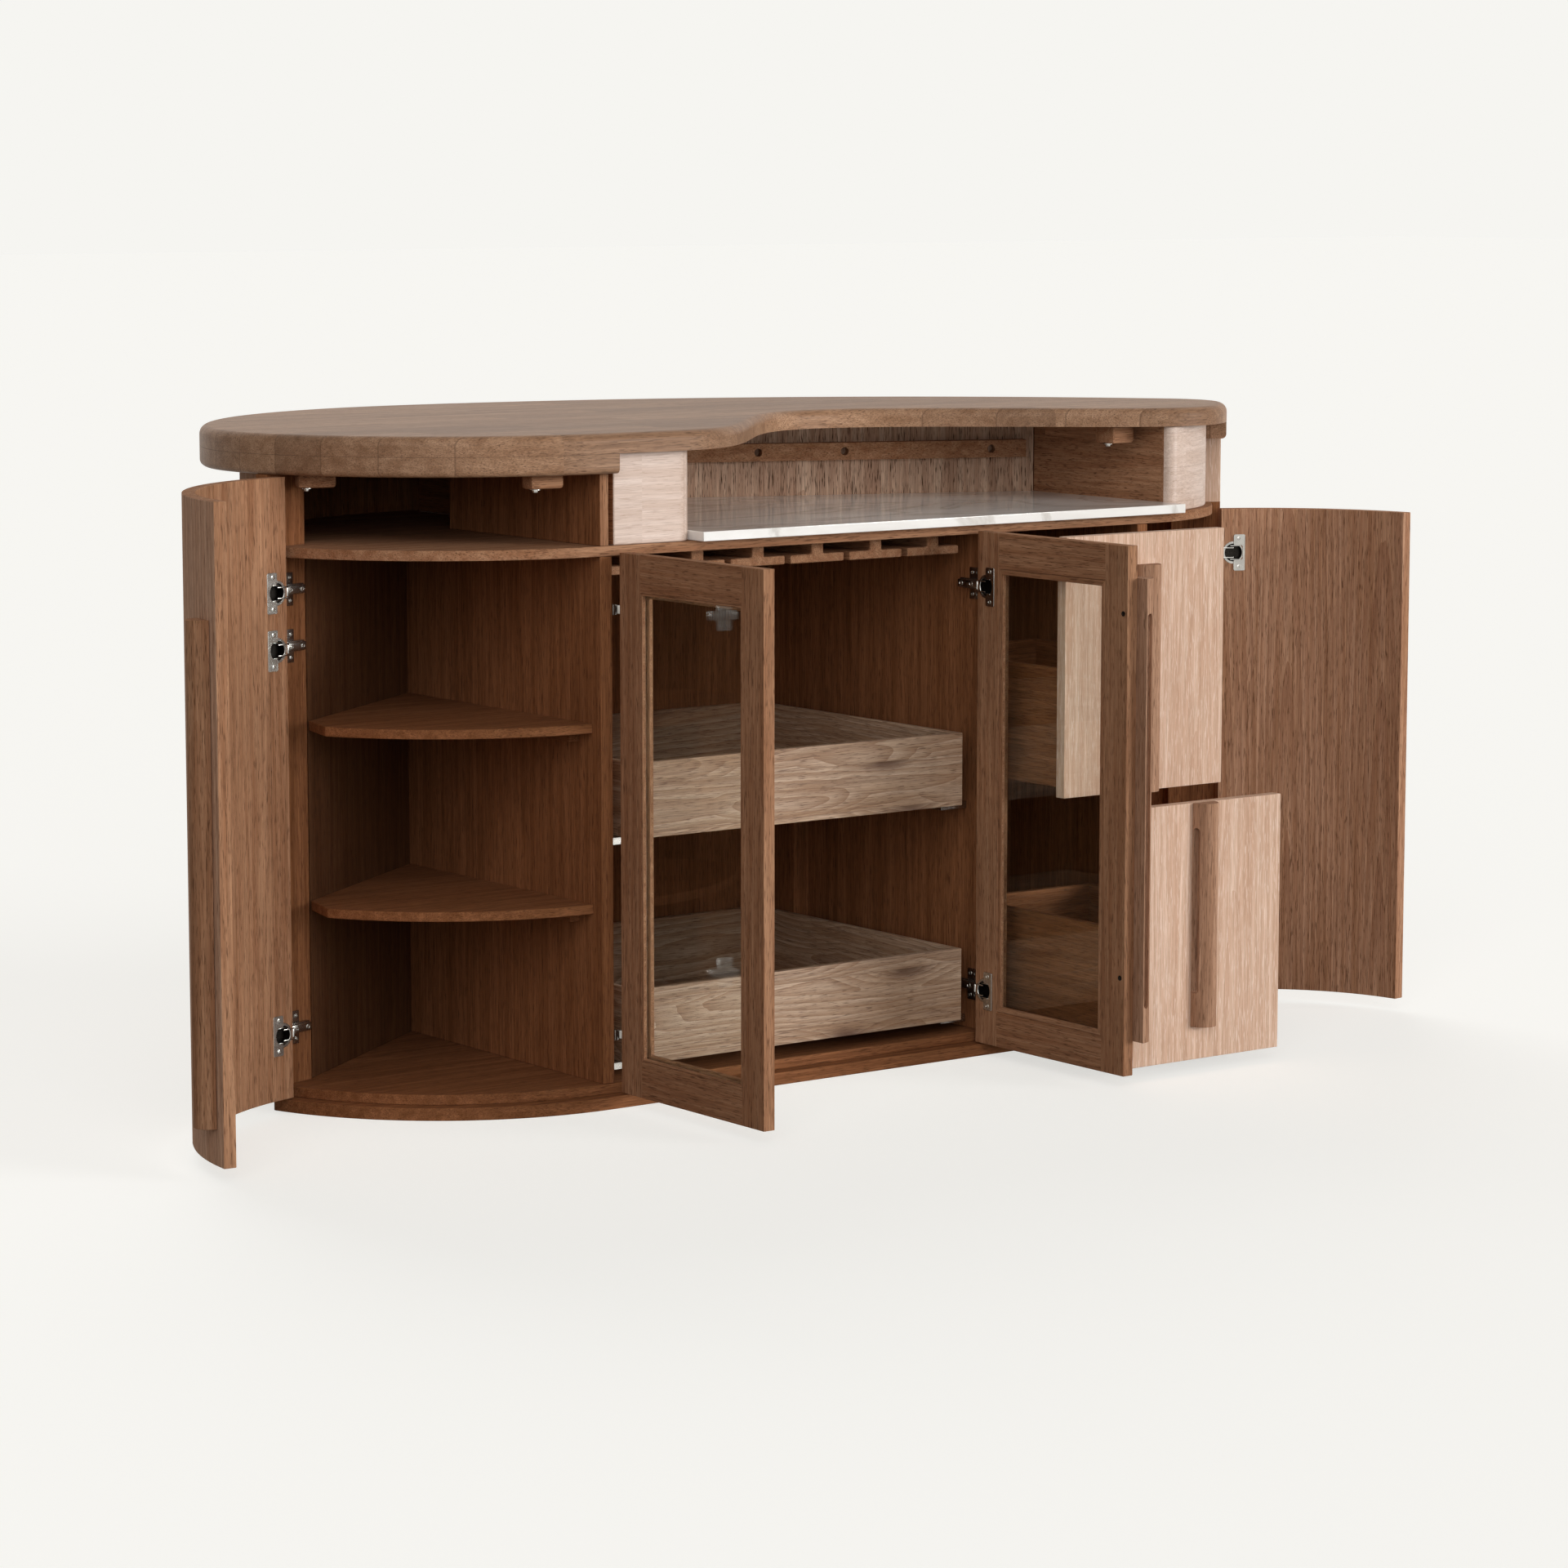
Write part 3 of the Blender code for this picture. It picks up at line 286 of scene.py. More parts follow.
def wood(name, light, mid, dark, leaf_mm=(170, 40000), stagger=0.0, lift=0.16, seam=0.0, ring_mm=9.0,
         ring_share=0.5, ring_hue=None, wild=2.2, streak_mm=14.0, fibre=0.42, pore=0.6, pore_hue=None,
         knots=0.0, rough=0.75, gloss=0.12):
    finish, tree, shader = new_finish(name)
    wide, far = (size / 1000 for size in leaf_mm)
    place, heart, inside, chance = leaves(tree, wide, far, stagger)
    rings, eye = rings_and_knots(tree, place, heart, ring_mm, wild, knots)
    share = add(tree, "ShaderNodeMath", {0: rings, 1: ring_share}, operation="MULTIPLY")
    # Base tone: broad streaks between the middle and the light colour
    streaks = (1000 / streak_mm, 1000 / streak_mm, STREAKS_ALONG)
    long = add(tree, "ShaderNodeMapping", {"Vector": place, "Scale": streaks})
    streak = add(tree, "ShaderNodeTexNoise", {"Vector": long.outputs[0], "Scale": 1.0,
                                              "Detail": 4.0, "Roughness": 0.62, "Distortion": 0.3})
    tone = add(tree, "ShaderNodeMapRange", {"Value": streak.outputs["Fac"], "From Min": 0.36,
                                            "From Max": 0.62})
    colour = add(tree, "ShaderNodeMix", {0: tone.outputs[0], 6: linear(mid), 7: linear(light)},
                 data_type="RGBA").outputs[2]
    # Fibre and pores: fine lines along the grain
    thin = add(tree, "ShaderNodeMapping", {"Vector": place, "Scale": FIBRE_SPACING})
    hair = add(tree, "ShaderNodeTexNoise", {"Vector": thin.outputs[0], "Scale": 1.0,
                                            "Detail": 4.0, "Roughness": 0.65})
    soft = add(tree, "ShaderNodeMapRange", {"Value": hair.outputs["Fac"], "From Min": 0.36,
                                            "From Max": 0.62, "To Min": fibre, "To Max": 0.0})
    fine = add(tree, "ShaderNodeMapping", {"Vector": place, "Scale": PORE_SPACING})
    pores = add(tree, "ShaderNodeTexNoise", {"Vector": fine.outputs[0], "Scale": 1.0,
                                             "Detail": 2.0, "Roughness": 0.5})
    tick = add(tree, "ShaderNodeMapRange", {"Value": pores.outputs["Fac"], "From Min": 0.56,
                                            "From Max": 0.66, "To Min": 0.0, "To Max": pore})
    # Some leaves are darker than others
    shift = add(tree, "ShaderNodeMath", {0: chance, 1: lift}, operation="MULTIPLY")
    layers = [(share, ring_hue or mid), (soft, dark), (shift, dark), (tick, pore_hue or dark)]
    if eye:
        layers.append((eye, dark))
    if seam:
        edge = add(tree, "ShaderNodeMath", {0: inside}, operation="ABSOLUTE")
        line = add(tree, "ShaderNodeMapRange",
                   {"Value": edge.outputs[0], "From Min": 0.5 - SEAM_WIDTH / wide, "From Max": 0.5,
                    "To Min": 0.0, "To Max": seam})
        layers.append((line, dark))
    for amount, hue in layers:
        colour = add(tree, "ShaderNodeMix", {0: amount.outputs[0], 6: colour, 7: linear(hue)},
                     data_type="RGBA").outputs[2]
    tree.links.new(colour, shader.inputs["Base Color"])
    sheen = add(tree, "ShaderNodeMapRange", {"Value": hair.outputs["Fac"], "To Min": rough - 0.08,
                                             "To Max": rough + 0.10})
    tree.links.new(sheen.outputs[0], shader.inputs["Roughness"])
    bump = add(tree, "ShaderNodeBump", {"Height": tick.outputs[0], "Strength": 0.3,
                                        "Distance": PORE_DEPTH}, invert=True)
    tree.links.new(bump.outputs[0], shader.inputs["Normal"])
    shader.inputs["IOR"].default_value = 1.40
    shader.inputs["Specular IOR Level"].default_value = gloss
    return finish


print("pores", round(1000 / PORE_SPACING[0], 1), "mm wide")

# %% Wood finishes
# Drawer fronts: pale sanded leaves, where filled pores show as fine light ticks
oak_pale = wood("pale_oak_veneer", "#EDCFB9", "#D3AD94", "#86603F", ring_mm=12, ring_share=0.8,
                fibre=0.34, pore=0.5, pore_hue="#F0DBCB")
# Frames, rails and door handles: mid brown with dark open pores, which reads as oiled wood
oak_brown = wood("brown_oak_veneer", "#BE906E", "#9C6D4E", "#4A2E1E", pore=0.7)
# Grips: a shade lighter than the frames, so that each stands out as a round rod
oak_grip = wood("turned_oak_grip", "#CBA184", "#AC8266", "#5A3C2B")
# Inside of a curved door: reddish leaves with plain arches
oak_door = wood("curved_door_oak_veneer", "#DAAB8A", "#BB8A67", "#583724", ring_mm=11, ring_share=0.7,
                ring_hue="#A9775A", pore=0.7)
# Curved fronts: the same leaves in a lighter tone, close to the drawers beside them
oak_front = wood("curved_front_oak_veneer", "#E0B79A", "#C49779", "#6A4733", ring_mm=11,
                 ring_share=0.7, ring_hue="#B5876A", pore=0.6)
# Insides of the bays: oak veneer darkened as painted shade, which lets the bays sink back
oak_interior = wood("oak_interior", "#A46D48", "#855433", "#402314", ring_share=0.4)
# Back board of the left bay: darker still than the insides, as painted shade, so that the bay looks
# deep
back_oak_painted_shade = wood("painted_shade_back_oak", "#724C32", "#5C3A23", "#2C180E", ring_share=0.4)
# Back of the niche: a wide leaf whose open pores look like dark scratches
oak_niche = wood("open_grained_oak", "#E2C2A8", "#BD977E", "#3E281B", leaf_mm=(330, 40000),
                 ring_mm=15, ring_share=0.7, pore=0.95)
# The top: staves of many shades end to end, with thin dark joints under a satin lacquer
oak_top = wood("staved_oak_top", "#BC9576", "#9A7457", "#442C1E", leaf_mm=(74, 620), stagger=0.618,
               lift=0.34, seam=0.5, streak_mm=20, rough=0.45, gloss=0.2)
# Ends of the niche: short pale staves with a polish that catches the light
oak_block = wood("staved_oak_ends", "#E8D5C8", "#D1B8A7", "#8A6249", leaf_mm=(58, 150), stagger=0.618,
                 lift=0.2, seam=0.25, streak_mm=16, fibre=0.26, pore=0.3, rough=0.40, gloss=0.5)
# Trays: planks of mango with swirling figure, small knots and thin glue lines
mango = wood("figured_mango_wood", "#E0C4A9", "#BD9A7B", "#54372A", leaf_mm=(76, 40000), lift=0.26,
             seam=0.30, ring_mm=9, ring_share=0.75, ring_hue="#A27C5E", streak_mm=34, wild=5.0,
             rough=0.5, gloss=0.3, knots=0.75)
print("wood finishes:", [m.name for m in bpy.data.materials if "oak" in m.name or "mango" in m.name])

# %% [markdown]
# ## Stone, glass and nickel
# The worktop is polished pale marble: nearly white, with soft grey clouds and a few thin veins.
# The panes are clear float glass. The hinges are pressed steel with a bright nickel plating, so they
# are metal all over with faint smears in the roughness. A few handle screws are blackened instead.

# %% Marble
# Polished, so that a clear reflection lies over the clouds
marble, tree, shader = new_finish("polished_pale_marble")
# The block was sawn along its bed, so clouds and veins are drawn out two times along the counter
place = add(tree, "ShaderNodeMapping", {"Vector": add(tree, "ShaderNodeTexCoord").outputs["Object"],
                                        "Rotation": (0, 0, math.radians(14)),
                                        "Scale": (0.5, 1.1, 1.0)}).outputs[0]
# Clouds about 20 cm across, veins a few millimetres wide and some 30 cm apart
cloud = add(tree, "ShaderNodeTexNoise", {"Vector": place, "Scale": 5.0, "Detail": 6.0,
                                         "Roughness": 0.6, "Distortion": 0.6})
cover = add(tree, "ShaderNodeMapRange", {"Value": cloud.outputs["Fac"], "From Min": 0.32,
                                         "From Max": 0.62})
clouds = add(tree, "ShaderNodeMix", {0: cover.outputs[0], 6: linear("#E2DDD6"), 7: linear("#F8F6F2")},
             data_type="RGBA")
run = add(tree, "ShaderNodeTexNoise", {"Vector": place, "Scale": 3.2, "Detail": 8.0,
                                       "Roughness": 0.55, "Distortion": 1.2})
away = add(tree, "ShaderNodeMath", {0: run.outputs["Fac"], 1: 0.5}, operation="SUBTRACT")
away = add(tree, "ShaderNodeMath", {0: away.outputs[0]}, operation="ABSOLUTE")
vein = add(tree, "ShaderNodeMapRange", {"Value": away.outputs[0], "From Min": 0.0,
                                        "From Max": 0.022, "To Min": 0.55, "To Max": 0.0})
veined = add(tree, "ShaderNodeMix", {0: vein.outputs[0], 6: clouds.outputs[2], 7: linear("#B9B2A8")},
             data_type="RGBA")
tree.links.new(veined.outputs[2], shader.inputs["Base Color"])
shader.inputs["Roughness"].default_value = 0.10
shader.inputs["IOR"].default_value = 1.55
print("marble ready:", marble.name)

# %% Glass and metals
# Float glass: clear, with a trace of green, and seen mostly by what it reflects
glass, tree, shader = new_finish("clear_float_glass")
shader.inputs["Base Color"].default_value = linear("#F4F8F6")
shader.inputs["Transmission Weight"].default_value = 1.0
shader.inputs["Roughness"].default_value = 0.0
shader.inputs["IOR"].default_value = 1.45

# Nickel plating: bright and a little uneven, with smears about 16 mm across
nickel, tree, shader = new_finish("nickel_plated_steel")
shader.inputs["Metallic"].default_value = 1.0
place = add(tree, "ShaderNodeTexCoord").outputs["Object"]
smear = add(tree, "ShaderNodeTexNoise", {"Vector": place, "Scale": 60.0, "Detail": 2.0})
polish = add(tree, "ShaderNodeMapRange", {"Value": smear.outputs["Fac"], "To Min": 0.22,
                                          "To Max": 0.30})
tree.links.new(polish.outputs[0], shader.inputs["Roughness"])
cover = add(tree, "ShaderNodeMapRange", {"Value": smear.outputs["Fac"], "From Min": 0.3,
                                         "From Max": 0.7})
tint = add(tree, "ShaderNodeMix", {0: cover.outputs[0], 6: linear("#A9A6A1"), 7: linear("#BCB9B3")},
           data_type="RGBA")
tree.links.new(tint.outputs[2], shader.inputs["Base Color"])

# Blackened steel: dull dark metal with oxide specks about 1 mm across, for the handle screws; it is
# also painted shade in the hollows of the hinge cups
dark_steel_and_cup_shade, tree, shader = new_finish("blackened_steel_and_painted_cup_shade")
shader.inputs["Metallic"].default_value = 1.0
place = add(tree, "ShaderNodeTexCoord").outputs["Object"]
speck = add(tree, "ShaderNodeTexNoise", {"Vector": place, "Scale": 1000.0, "Detail": 2.0})
cover = add(tree, "ShaderNodeMapRange", {"Value": speck.outputs["Fac"], "From Min": 0.35,
                                         "From Max": 0.65})
tint = add(tree, "ShaderNodeMix", {0: cover.outputs[0], 6: linear("#1C1A18"), 7: linear("#35312D")},
           data_type="RGBA")
tree.links.new(tint.outputs[2], shader.inputs["Base Color"])
shader.inputs["Roughness"].default_value = 0.45
print("glass and metals:", glass.name, nickel.name, dark_steel_and_cup_shade.name)

# %% [markdown]
# ## Boards with eased edges
# A real board never ends in a knife edge: a pass of sandpaper leaves about a millimetre of round,
# which catches a thin line of light. The CAD boards are sharp, so each is copied, its triangles are
# merged into clean faces, and its sharp edges are bevelled. The copy then stands for the CAD board.

# %% Copy a board and ease it
UP = Vector((0, 0, 1))
EASE, FINE_EASE = 0.0012, 0.0008        # round of a board's edge, and of a slim piece's edge
SHARP = 25                              # degrees past which an edge counts as sharp
FLAT = math.radians(0.3)                # triangles that differ less than this are one face


def copy_of(node):
    bm = bmesh.new()
    bm.from_mesh(frame["nodes"][node].data)
    bmesh.ops.remove_doubles(bm, verts=bm.verts, dist=1e-5)
    bmesh.ops.dissolve_limit(bm, angle_limit=FLAT, verts=bm.verts, edges=bm.edges,
                             use_dissolve_boundaries=False)
    return bm


def cut(bm, point, normal):
    bmesh.ops.bisect_plane(bm, geom=bm.verts[:] + bm.edges[:] + bm.faces[:], dist=1e-6,
                           plane_co=point, plane_no=normal)


def bevel(bm, edges, width, segments):
    return bmesh.ops.bevel(bm, geom=edges, offset=width, offset_type="OFFSET", affect="EDGES",
                           segments=segments, profile=0.5, material=-1, clamp_overlap=True)["faces"]


def ease(bm, width, segments=2, pick=None, over=SHARP):
    edges = [e for e in bm.edges if len(e.link_faces) == 2
             and math.degrees(e.calc_face_angle(0)) > over and (pick is None or pick(e))]
    return set(bevel(bm, edges, width, segments))


def shade(bm, rounds=(), over=SHARP):
    for face in bm.faces:
        face.smooth = True
    for edge in bm.edges:
        sides = [f in rounds for f in edge.link_faces]
        edge.smooth = not (len(set(sides)) == 2
                           or math.degrees(edge.calc_face_angle(0)) > over)


print("edges past", SHARP, "degrees get a round of", round(1000 * EASE, 1), "mm")

# %% [markdown]
# ## Grain that follows each board
# Every board gets its own grain coordinate: across the leaf, through it, and along it. A flat board
# takes these from its axes, and a bent one from a circle through it, so the veneer wraps round.
# A seed from the board's name moves the heart of the rings, so that no two leaves are the same.

# %% Store the grain
def circle_of(bm):
    xy = np.array([v.co[:2] for v in bm.verts])
    fit = np.linalg.lstsq(np.c_[xy * 2, np.ones(len(xy))], (xy ** 2).sum(1), rcond=None)[0]
    centre = Vector(fit[:2])
    spread = sum((Vector(p) - centre for p in xy), Vector((0, 0)))
    return centre, math.sqrt(fit[2] + centre.length_squared), spread.normalized()


def lay_grain(bm, name, along, zone=None, middle=None):
    layer = bm.loops.layers.float_vector.new("grain")
    chance = random.Random(name)
    heart = Vector((chance.uniform(-0.06, 0.06), chance.uniform(0.0, 0.02), chance.uniform(-0.5, 0.5)))
    co = np.array([v.co for v in bm.verts])
    size = co.max(0) - co.min(0)
    if middle is None:
        middle = Vector((co.max(0) + co.min(0)) / 2)
    bent = along in ("round", "band")
    if bent:
        centre, radius, front = circle_of(bm)
    for face in bm.faces:
        way = zone(face) if zone else along
        for loop in face.loops:
            p = loop.vert.co - middle
            if bent:
                arm = loop.vert.co.xy - centre
                turn = math.atan2(front.cross(arm), front.dot(arm))
                arc, depth = turn * radius, arm.length - radius
                spot = (arc, depth, p.z) if along == "round" else (p.z, depth, arc)
            else:
                other = [i for i in range(3) if i != "xyz".index(way)]
                other.sort(key=lambda i: -size[i])
                spot = (p[other[0]], p[other[1]], p["xyz".index(way)])
            loop[layer] = Vector(spot) + heart


print("grain follows x, y or z, or goes round a bend")

# %% [markdown]
# ## From a board to a finished piece
# A finished piece rides on the body of its CAD node, so it moves as the real board does, and it stands
# for that node. Some boards show two woods, one on each side. A second material on the faces that look
# one way is enough for that, and the board stays one piece, as a board with two veneers does.

# %% Finished pieces
body_of = {node: obj["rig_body"] for node, obj in frame["nodes"].items()}


def finish_piece(name, bm, finish, body, stands_for=()):
    mesh = bpy.data.meshes.new(name)
    bm.to_mesh(mesh)
    bm.free()
    mesh.materials.append(finish)
    piece = bpy.data.objects.new(name, mesh)
    scene.collection.objects.link(piece)
    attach(piece, body)
    if stands_for:
        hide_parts(*stands_for)
    return piece


def board(node, along, finish, width=EASE, zone=None, segments=2, cuts=(), ending="_board"):
    bm = copy_of(node)
    for point, normal in cuts:
        cut(bm, point, normal)
    rounds = ease(bm, width, segments)
    shade(bm, rounds)
    lay_grain(bm, node, along, zone)
    return finish_piece(node + ending, bm, finish, body_of[node], (node,))


def face_finish(piece, finish, pick):
    piece.data.materials.append(finish)
    for face in piece.data.polygons:
        if pick(face):
            face.material_index = len(piece.data.materials) - 1


def bend_of(node):
    bm = copy_of(node)
    centre = circle_of(bm)[0]
    bm.free()
    return centre


def outward_from(centre):
    # 1 on the outer face of a bent board, 0 on its ends and -1 on its inner face
    return lambda face: (face.center.xy - centre).normalized().dot(face.normal.xy)


print(len(body_of), "CAD nodes to dress")

# %% [markdown]
# ## The carcass
# The carcass is veneered board: darkened inside the bays as painted shade, lighter on the bent panel
# that the guests see.
# Its edges only need easing. The grain stands upright in walls and runs along shelves. The ledges that
# carry trays and drawers are steel on a wooden upright, so each carrier gets two finishes.

# %% Carcass boards
LEDGE = 0.012         # height of the steel at the foot and head of a carrier
guest_side = board("customer_panel", "round", oak_front)
outward = outward_from(bend_of("customer_panel"))
# The inner face takes the interior oak, darkened as painted shade
face_finish(guest_side, oak_interior, lambda face: outward(face) < -0.5)
face_finish(guest_side, oak_pale, lambda face: abs(outward(face)) < 0.5)
# The interior oak on these boards is darkened as painted shade
board("left_post", "z", oak_interior)
# The head of the right post stands beside the niche and is as pale as the niche's end
niche_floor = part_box("mid_panel")[1].z
post = board("right_post", "z", oak_interior, cuts=[((0, 0, niche_floor), UP)])
face_finish(post, oak_pale, lambda face: face.center.z > niche_floor)
for node in ("partition_left", "partition_middle", "partition_right", "main_back_panel"):
    board(node, "z", oak_interior)
# The back board of the left bay takes the darker oak as painted shade
board("left_back_panel", "z", back_oak_painted_shade)
for node in ("shelf_upper", "shelf_lower", "bottom_panel"):
    board(node, "x", oak_interior)
board("mid_panel", "x", oak_brown)
board("plinth", "x", oak_interior)
for node in ("shelf_cleat_upper", "shelf_cleat_lower"):
    board(node, "y", oak_interior, FINE_EASE)
for node in ("tray_carrier_left", "tray_carrier_right", "drawer_carrier_left", "drawer_carrier_right"):
    carrier = board(node, "z", nickel, FINE_EASE)
    low, high = (corner.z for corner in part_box(node))
    face_finish(carrier, oak_interior, lambda face: low + LEDGE < face.center.z < high - LEDGE)
print("carcass boards eased")

# %% [markdown]
# ## The niche and its ends
# The niche back is a wide leaf with very open grain. The two ends of the niche are glued up from
# short staves that lie on their side, and the right one is bent round like the door below it.

# %% Niche
SOFT_EDGE = 0.0025        # round of pieces that hands and glasses touch
BENT_EDGE = 0.0015
board("niche_back", "z", oak_niche)
board("niche_rail", "x", oak_brown)
upper_wall = board("upper_partition", "z", oak_brown)
left_end = board("left_end_panel", "x", oak_block, SOFT_EDGE, segments=3,
                 zone=lambda face: "y" if abs(face.normal.x) > 0.7 else "x")
right_end = board("right_end_panel", "band", oak_block, BENT_EDGE)
# Each of these has one side that looks into another bay, and takes that bay's finish there; two of them
# take the interior oak, darkened as painted shade
for end, beside in ((left_end, oak_interior), (upper_wall, oak_interior), (right_end, oak_brown)):
    face_finish(end, beside, lambda face: face.normal.x < -0.9)
for i in range(1, 7):
    board(f"stemware_rail_{i}", "y", oak_brown, SOFT_EDGE)
board("stone_worktop", "x", marble, segments=3)
print("niche dressed")

# %% [markdown]
# ## The top
# The top is a thick glued slab with a thicker rim under it, rounded over by hand on the upper edge
# and less below. A large bevel with many steps makes the round. The joint of slab and rim stays
# sharp, and both take their staves from the same place, so that the seam hardly shows.

# %% Slab and rim
SLAB_ROUND, RIM_ROUND = 0.014, 0.008
TOP_MIDDLE = Vector((0.0, 0.0, 1.0))
slab_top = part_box("countertop")[1].z
rim_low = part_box("countertop_lip")[0].z
rim_centre = bend_of("countertop_lip")


def at_height(edge, z):
    return all(abs(v.co.z - z) <= 1e-4 for v in edge.verts)


def on_slab_top(edge):
    return at_height(edge, slab_top)


def under_rim(edge):
    # Only where the wall beside the edge looks away from the middle of the rim
    wall = min(edge.link_faces, key=lambda f: abs(f.normal.z))
    outer = (wall.calc_center_median().xy - rim_centre).dot(wall.normal.xy) > 0.02
    return outer and at_height(edge, rim_low)


def rounded(node, pick, width, segments):
    bm = copy_of(node)
    rounds = ease(bm, width, segments, pick)
    shade(bm, rounds, over=30)
    lay_grain(bm, "top", "x", middle=TOP_MIDDLE)
    return finish_piece(node + "_rounded", bm, oak_top, body_of[node], (node,))


slab = rounded("countertop", on_slab_top, SLAB_ROUND, 8)
rim = rounded("countertop_lip", under_rim, RIM_ROUND, 6)
print("slab and rim:", len(slab.data.polygons), len(rim.data.polygons), "faces")

# %% [markdown]
# ## Doors, drawers and trays
# The curved doors are bent ply with upright veneer on both sides. The drawers have pale fronts with a
# half-round grip, and boxes darkened as painted shade. The trays are solid mango. In a box the grain
# runs along each wall, so it turns at the corners. A rule by place tells which way it runs, and nothing
# has to be cut.

# %% Curved doors, drawers and trays
BOX_WALL = 0.016          # depth of a box's front and back wall, with a little to spare


def turning(node, edge, inner_way, edge_way):
    # The grain runs one way in the two outer strips of a piece and another way between them
    lo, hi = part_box(node)
    return lambda face: (inner_way if lo.y + edge < face.calc_center_median().y < hi.y - edge
                         else edge_way)


# The left door takes the darker brown oak inside, as painted shade over its inner face
for side, inner_face in (("left", oak_brown), ("right", oak_door)):
    door = board(f"{side}_door", "round", inner_face)
    outward = outward_from(bend_of(f"{side}_door"))
    face_finish(door, oak_front, lambda face: outward(face) > 0.5)
    board(f"{side}_door_handle", "z", oak_brown, FINE_EASE)
board("glass_door_right_handle", "z", oak_grip, FINE_EASE)
for level in ("lower", "upper"):
    board(f"drawer_{level}_front", "z", oak_pale)
    board(f"drawer_{level}_handle", "z", oak_grip, FINE_EASE)
    box = f"drawer_{level}_box"
    # The drawer boxes take the interior oak, darkened as painted shade
    board(box, "y", oak_interior, zone=turning(box, BOX_WALL, "y", "x"))
    board(f"tray_{level}_front", "x", mango)
    box = f"tray_{level}_box"
    board(box, "y", mango, zone=turning(box, BOX_WALL, "y", "x"))
print("doors, drawers and trays dressed")

# %% [markdown]
# ## Glazed doors
# The frames are joined from two stiles and two rails, so the grain turns at each joint. The copy is
# cut along the joints first, which lets each member take its own grain, and a thin bead is laid
# round the pane on both sides, as a glazier would pin it. The pane itself is right in the CAD, and
# only gets its glass.

# %% Frames, panes and beads
STILE, RAIL = 0.055, 0.058
INNER_BEAD, OUTER_BEAD = 0.009, 0.004       # width of the bead that is seen
BEAD_ROUND = 0.0015
BEAD_FIT, BEAD_SHY = 0.0004, 0.0006         # play in the frame's opening, and in its depth


def glazed_frame(side):
    node = f"glass_door_{side}_frame"
    lo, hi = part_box(node)
    joints = [((0, y, 0), (0, 1, 0)) for y in (lo.y + STILE, hi.y - STILE)]
    return board(node, "z", oak_brown, zone=turning(node, STILE, "y", "z"), cuts=joints,
                 ending="_joined")


def bead(side, width, inner):
    node = f"glass_door_{side}_frame"
    lo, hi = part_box(node)
    pane_lo, pane_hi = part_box(f"glass_door_{side}_pane")
    inside_is_high = side == "left"       # the open doors face each other
    low_x, high_x = (pane_hi.x, hi.x) if inner == inside_is_high else (lo.x, pane_lo.x)
    opening = (hi.y - lo.y - 2 * STILE - BEAD_FIT, hi.z - lo.z - 2 * RAIL - BEAD_FIT, 1)
    bm = bmesh.new()
    bmesh.ops.create_grid(bm, x_segments=1, y_segments=1, size=0.5)
    bmesh.ops.scale(bm, vec=opening, verts=bm.verts)
    hole = bm.faces[:]
    bmesh.ops.inset_region(bm, faces=hole, thickness=width, use_boundary=True,
                           use_even_offset=True)
    bmesh.ops.delete(bm, geom=hole, context="FACES")
    bmesh.ops.solidify(bm, geom=bm.faces[:], thickness=high_x - low_x - BEAD_SHY)
    upright = Matrix(((0, 0, 1), (1, 0, 0), (0, 1, 0))).to_4x4()      # x to y, y to z, depth to x
    bmesh.ops.transform(bm, matrix=upright, verts=bm.verts)
    middle = sum((v.co for v in bm.verts), Vector()) / len(bm.verts)
    goal = Vector(((low_x + high_x) / 2, (lo.y + hi.y) / 2, (lo.z + hi.z) / 2))
    bmesh.ops.translate(bm, vec=goal - middle, verts=bm.verts)
    bmesh.ops.recalc_face_normals(bm, faces=bm.faces)
    rounds = ease(bm, BEAD_ROUND)
    shade(bm, rounds)
    name = f"glass_door_{side}_bead_{'inner' if inner else 'outer'}"
    lay_grain(bm, name, "z", turning(node, STILE + width, "y", "z"))
    return finish_piece(name, bm, oak_brown, f"glass_door_{side}")


for side in ("left", "right"):
    pane = frame["nodes"][f"glass_door_{side}_pane"].data
    pane.materials.clear()
    pane.materials.append(glass)
    glazed_frame(side)
    bead(side, INNER_BEAD, True)
    bead(side, OUTER_BEAD, False)
print("glazed doors joined and beaded")

# %% [markdown]
# ## Concealed hinges
# Each hinge is a pressed cup let into the door under a screwed flange, and an arm on a cross plate
# that is screwed to the carcass. The cup is turned, so a spun profile makes it. The rest is cut and
# folded sheet, so bevelled blocks do. The hollow of a cup gets the dark metal as painted shade,
# and two thin links lead out of it.

# %% Shapes for hinges and screws
ROUND_SHADE = 35          # degrees past which an edge of a small metal part looks sharp


def block(bm, at, centre, size, soft):
    made = bmesh.ops.create_cube(bm, size=1.0, matrix=at @ Matrix.Translation(centre)
                                 @ Matrix.Diagonal((*size, 1.0)))
    bevel(bm, list({e for v in made["verts"] for e in v.link_edges}), soft, 2)


def turned(bm, at, profile, steps=32):
    points = [bm.verts.new(at @ Vector((r, 0, h))) for r, h in profile]
    edges = [bm.edges.new(pair) for pair in zip(points, points[1:])]
    bmesh.ops.spin(bm, geom=points + edges, cent=at.translation, axis=at.col[2].xyz,
                   angle=2 * math.pi, steps=steps, use_merge=True)


def screw(bm, at, r):
    turned(bm, at, [(0, 0.0002), (0.4 * r, 0.0002), (0.5 * r, 0.0010), (r, 0.0007), (r, -0.0004),
                    (0, -0.0004)], 14)


def at_place(origin, x, z):
    y = z.cross(x)
    return Matrix.Translation(origin) @ Matrix((x, y, z)).transposed().to_4x4()


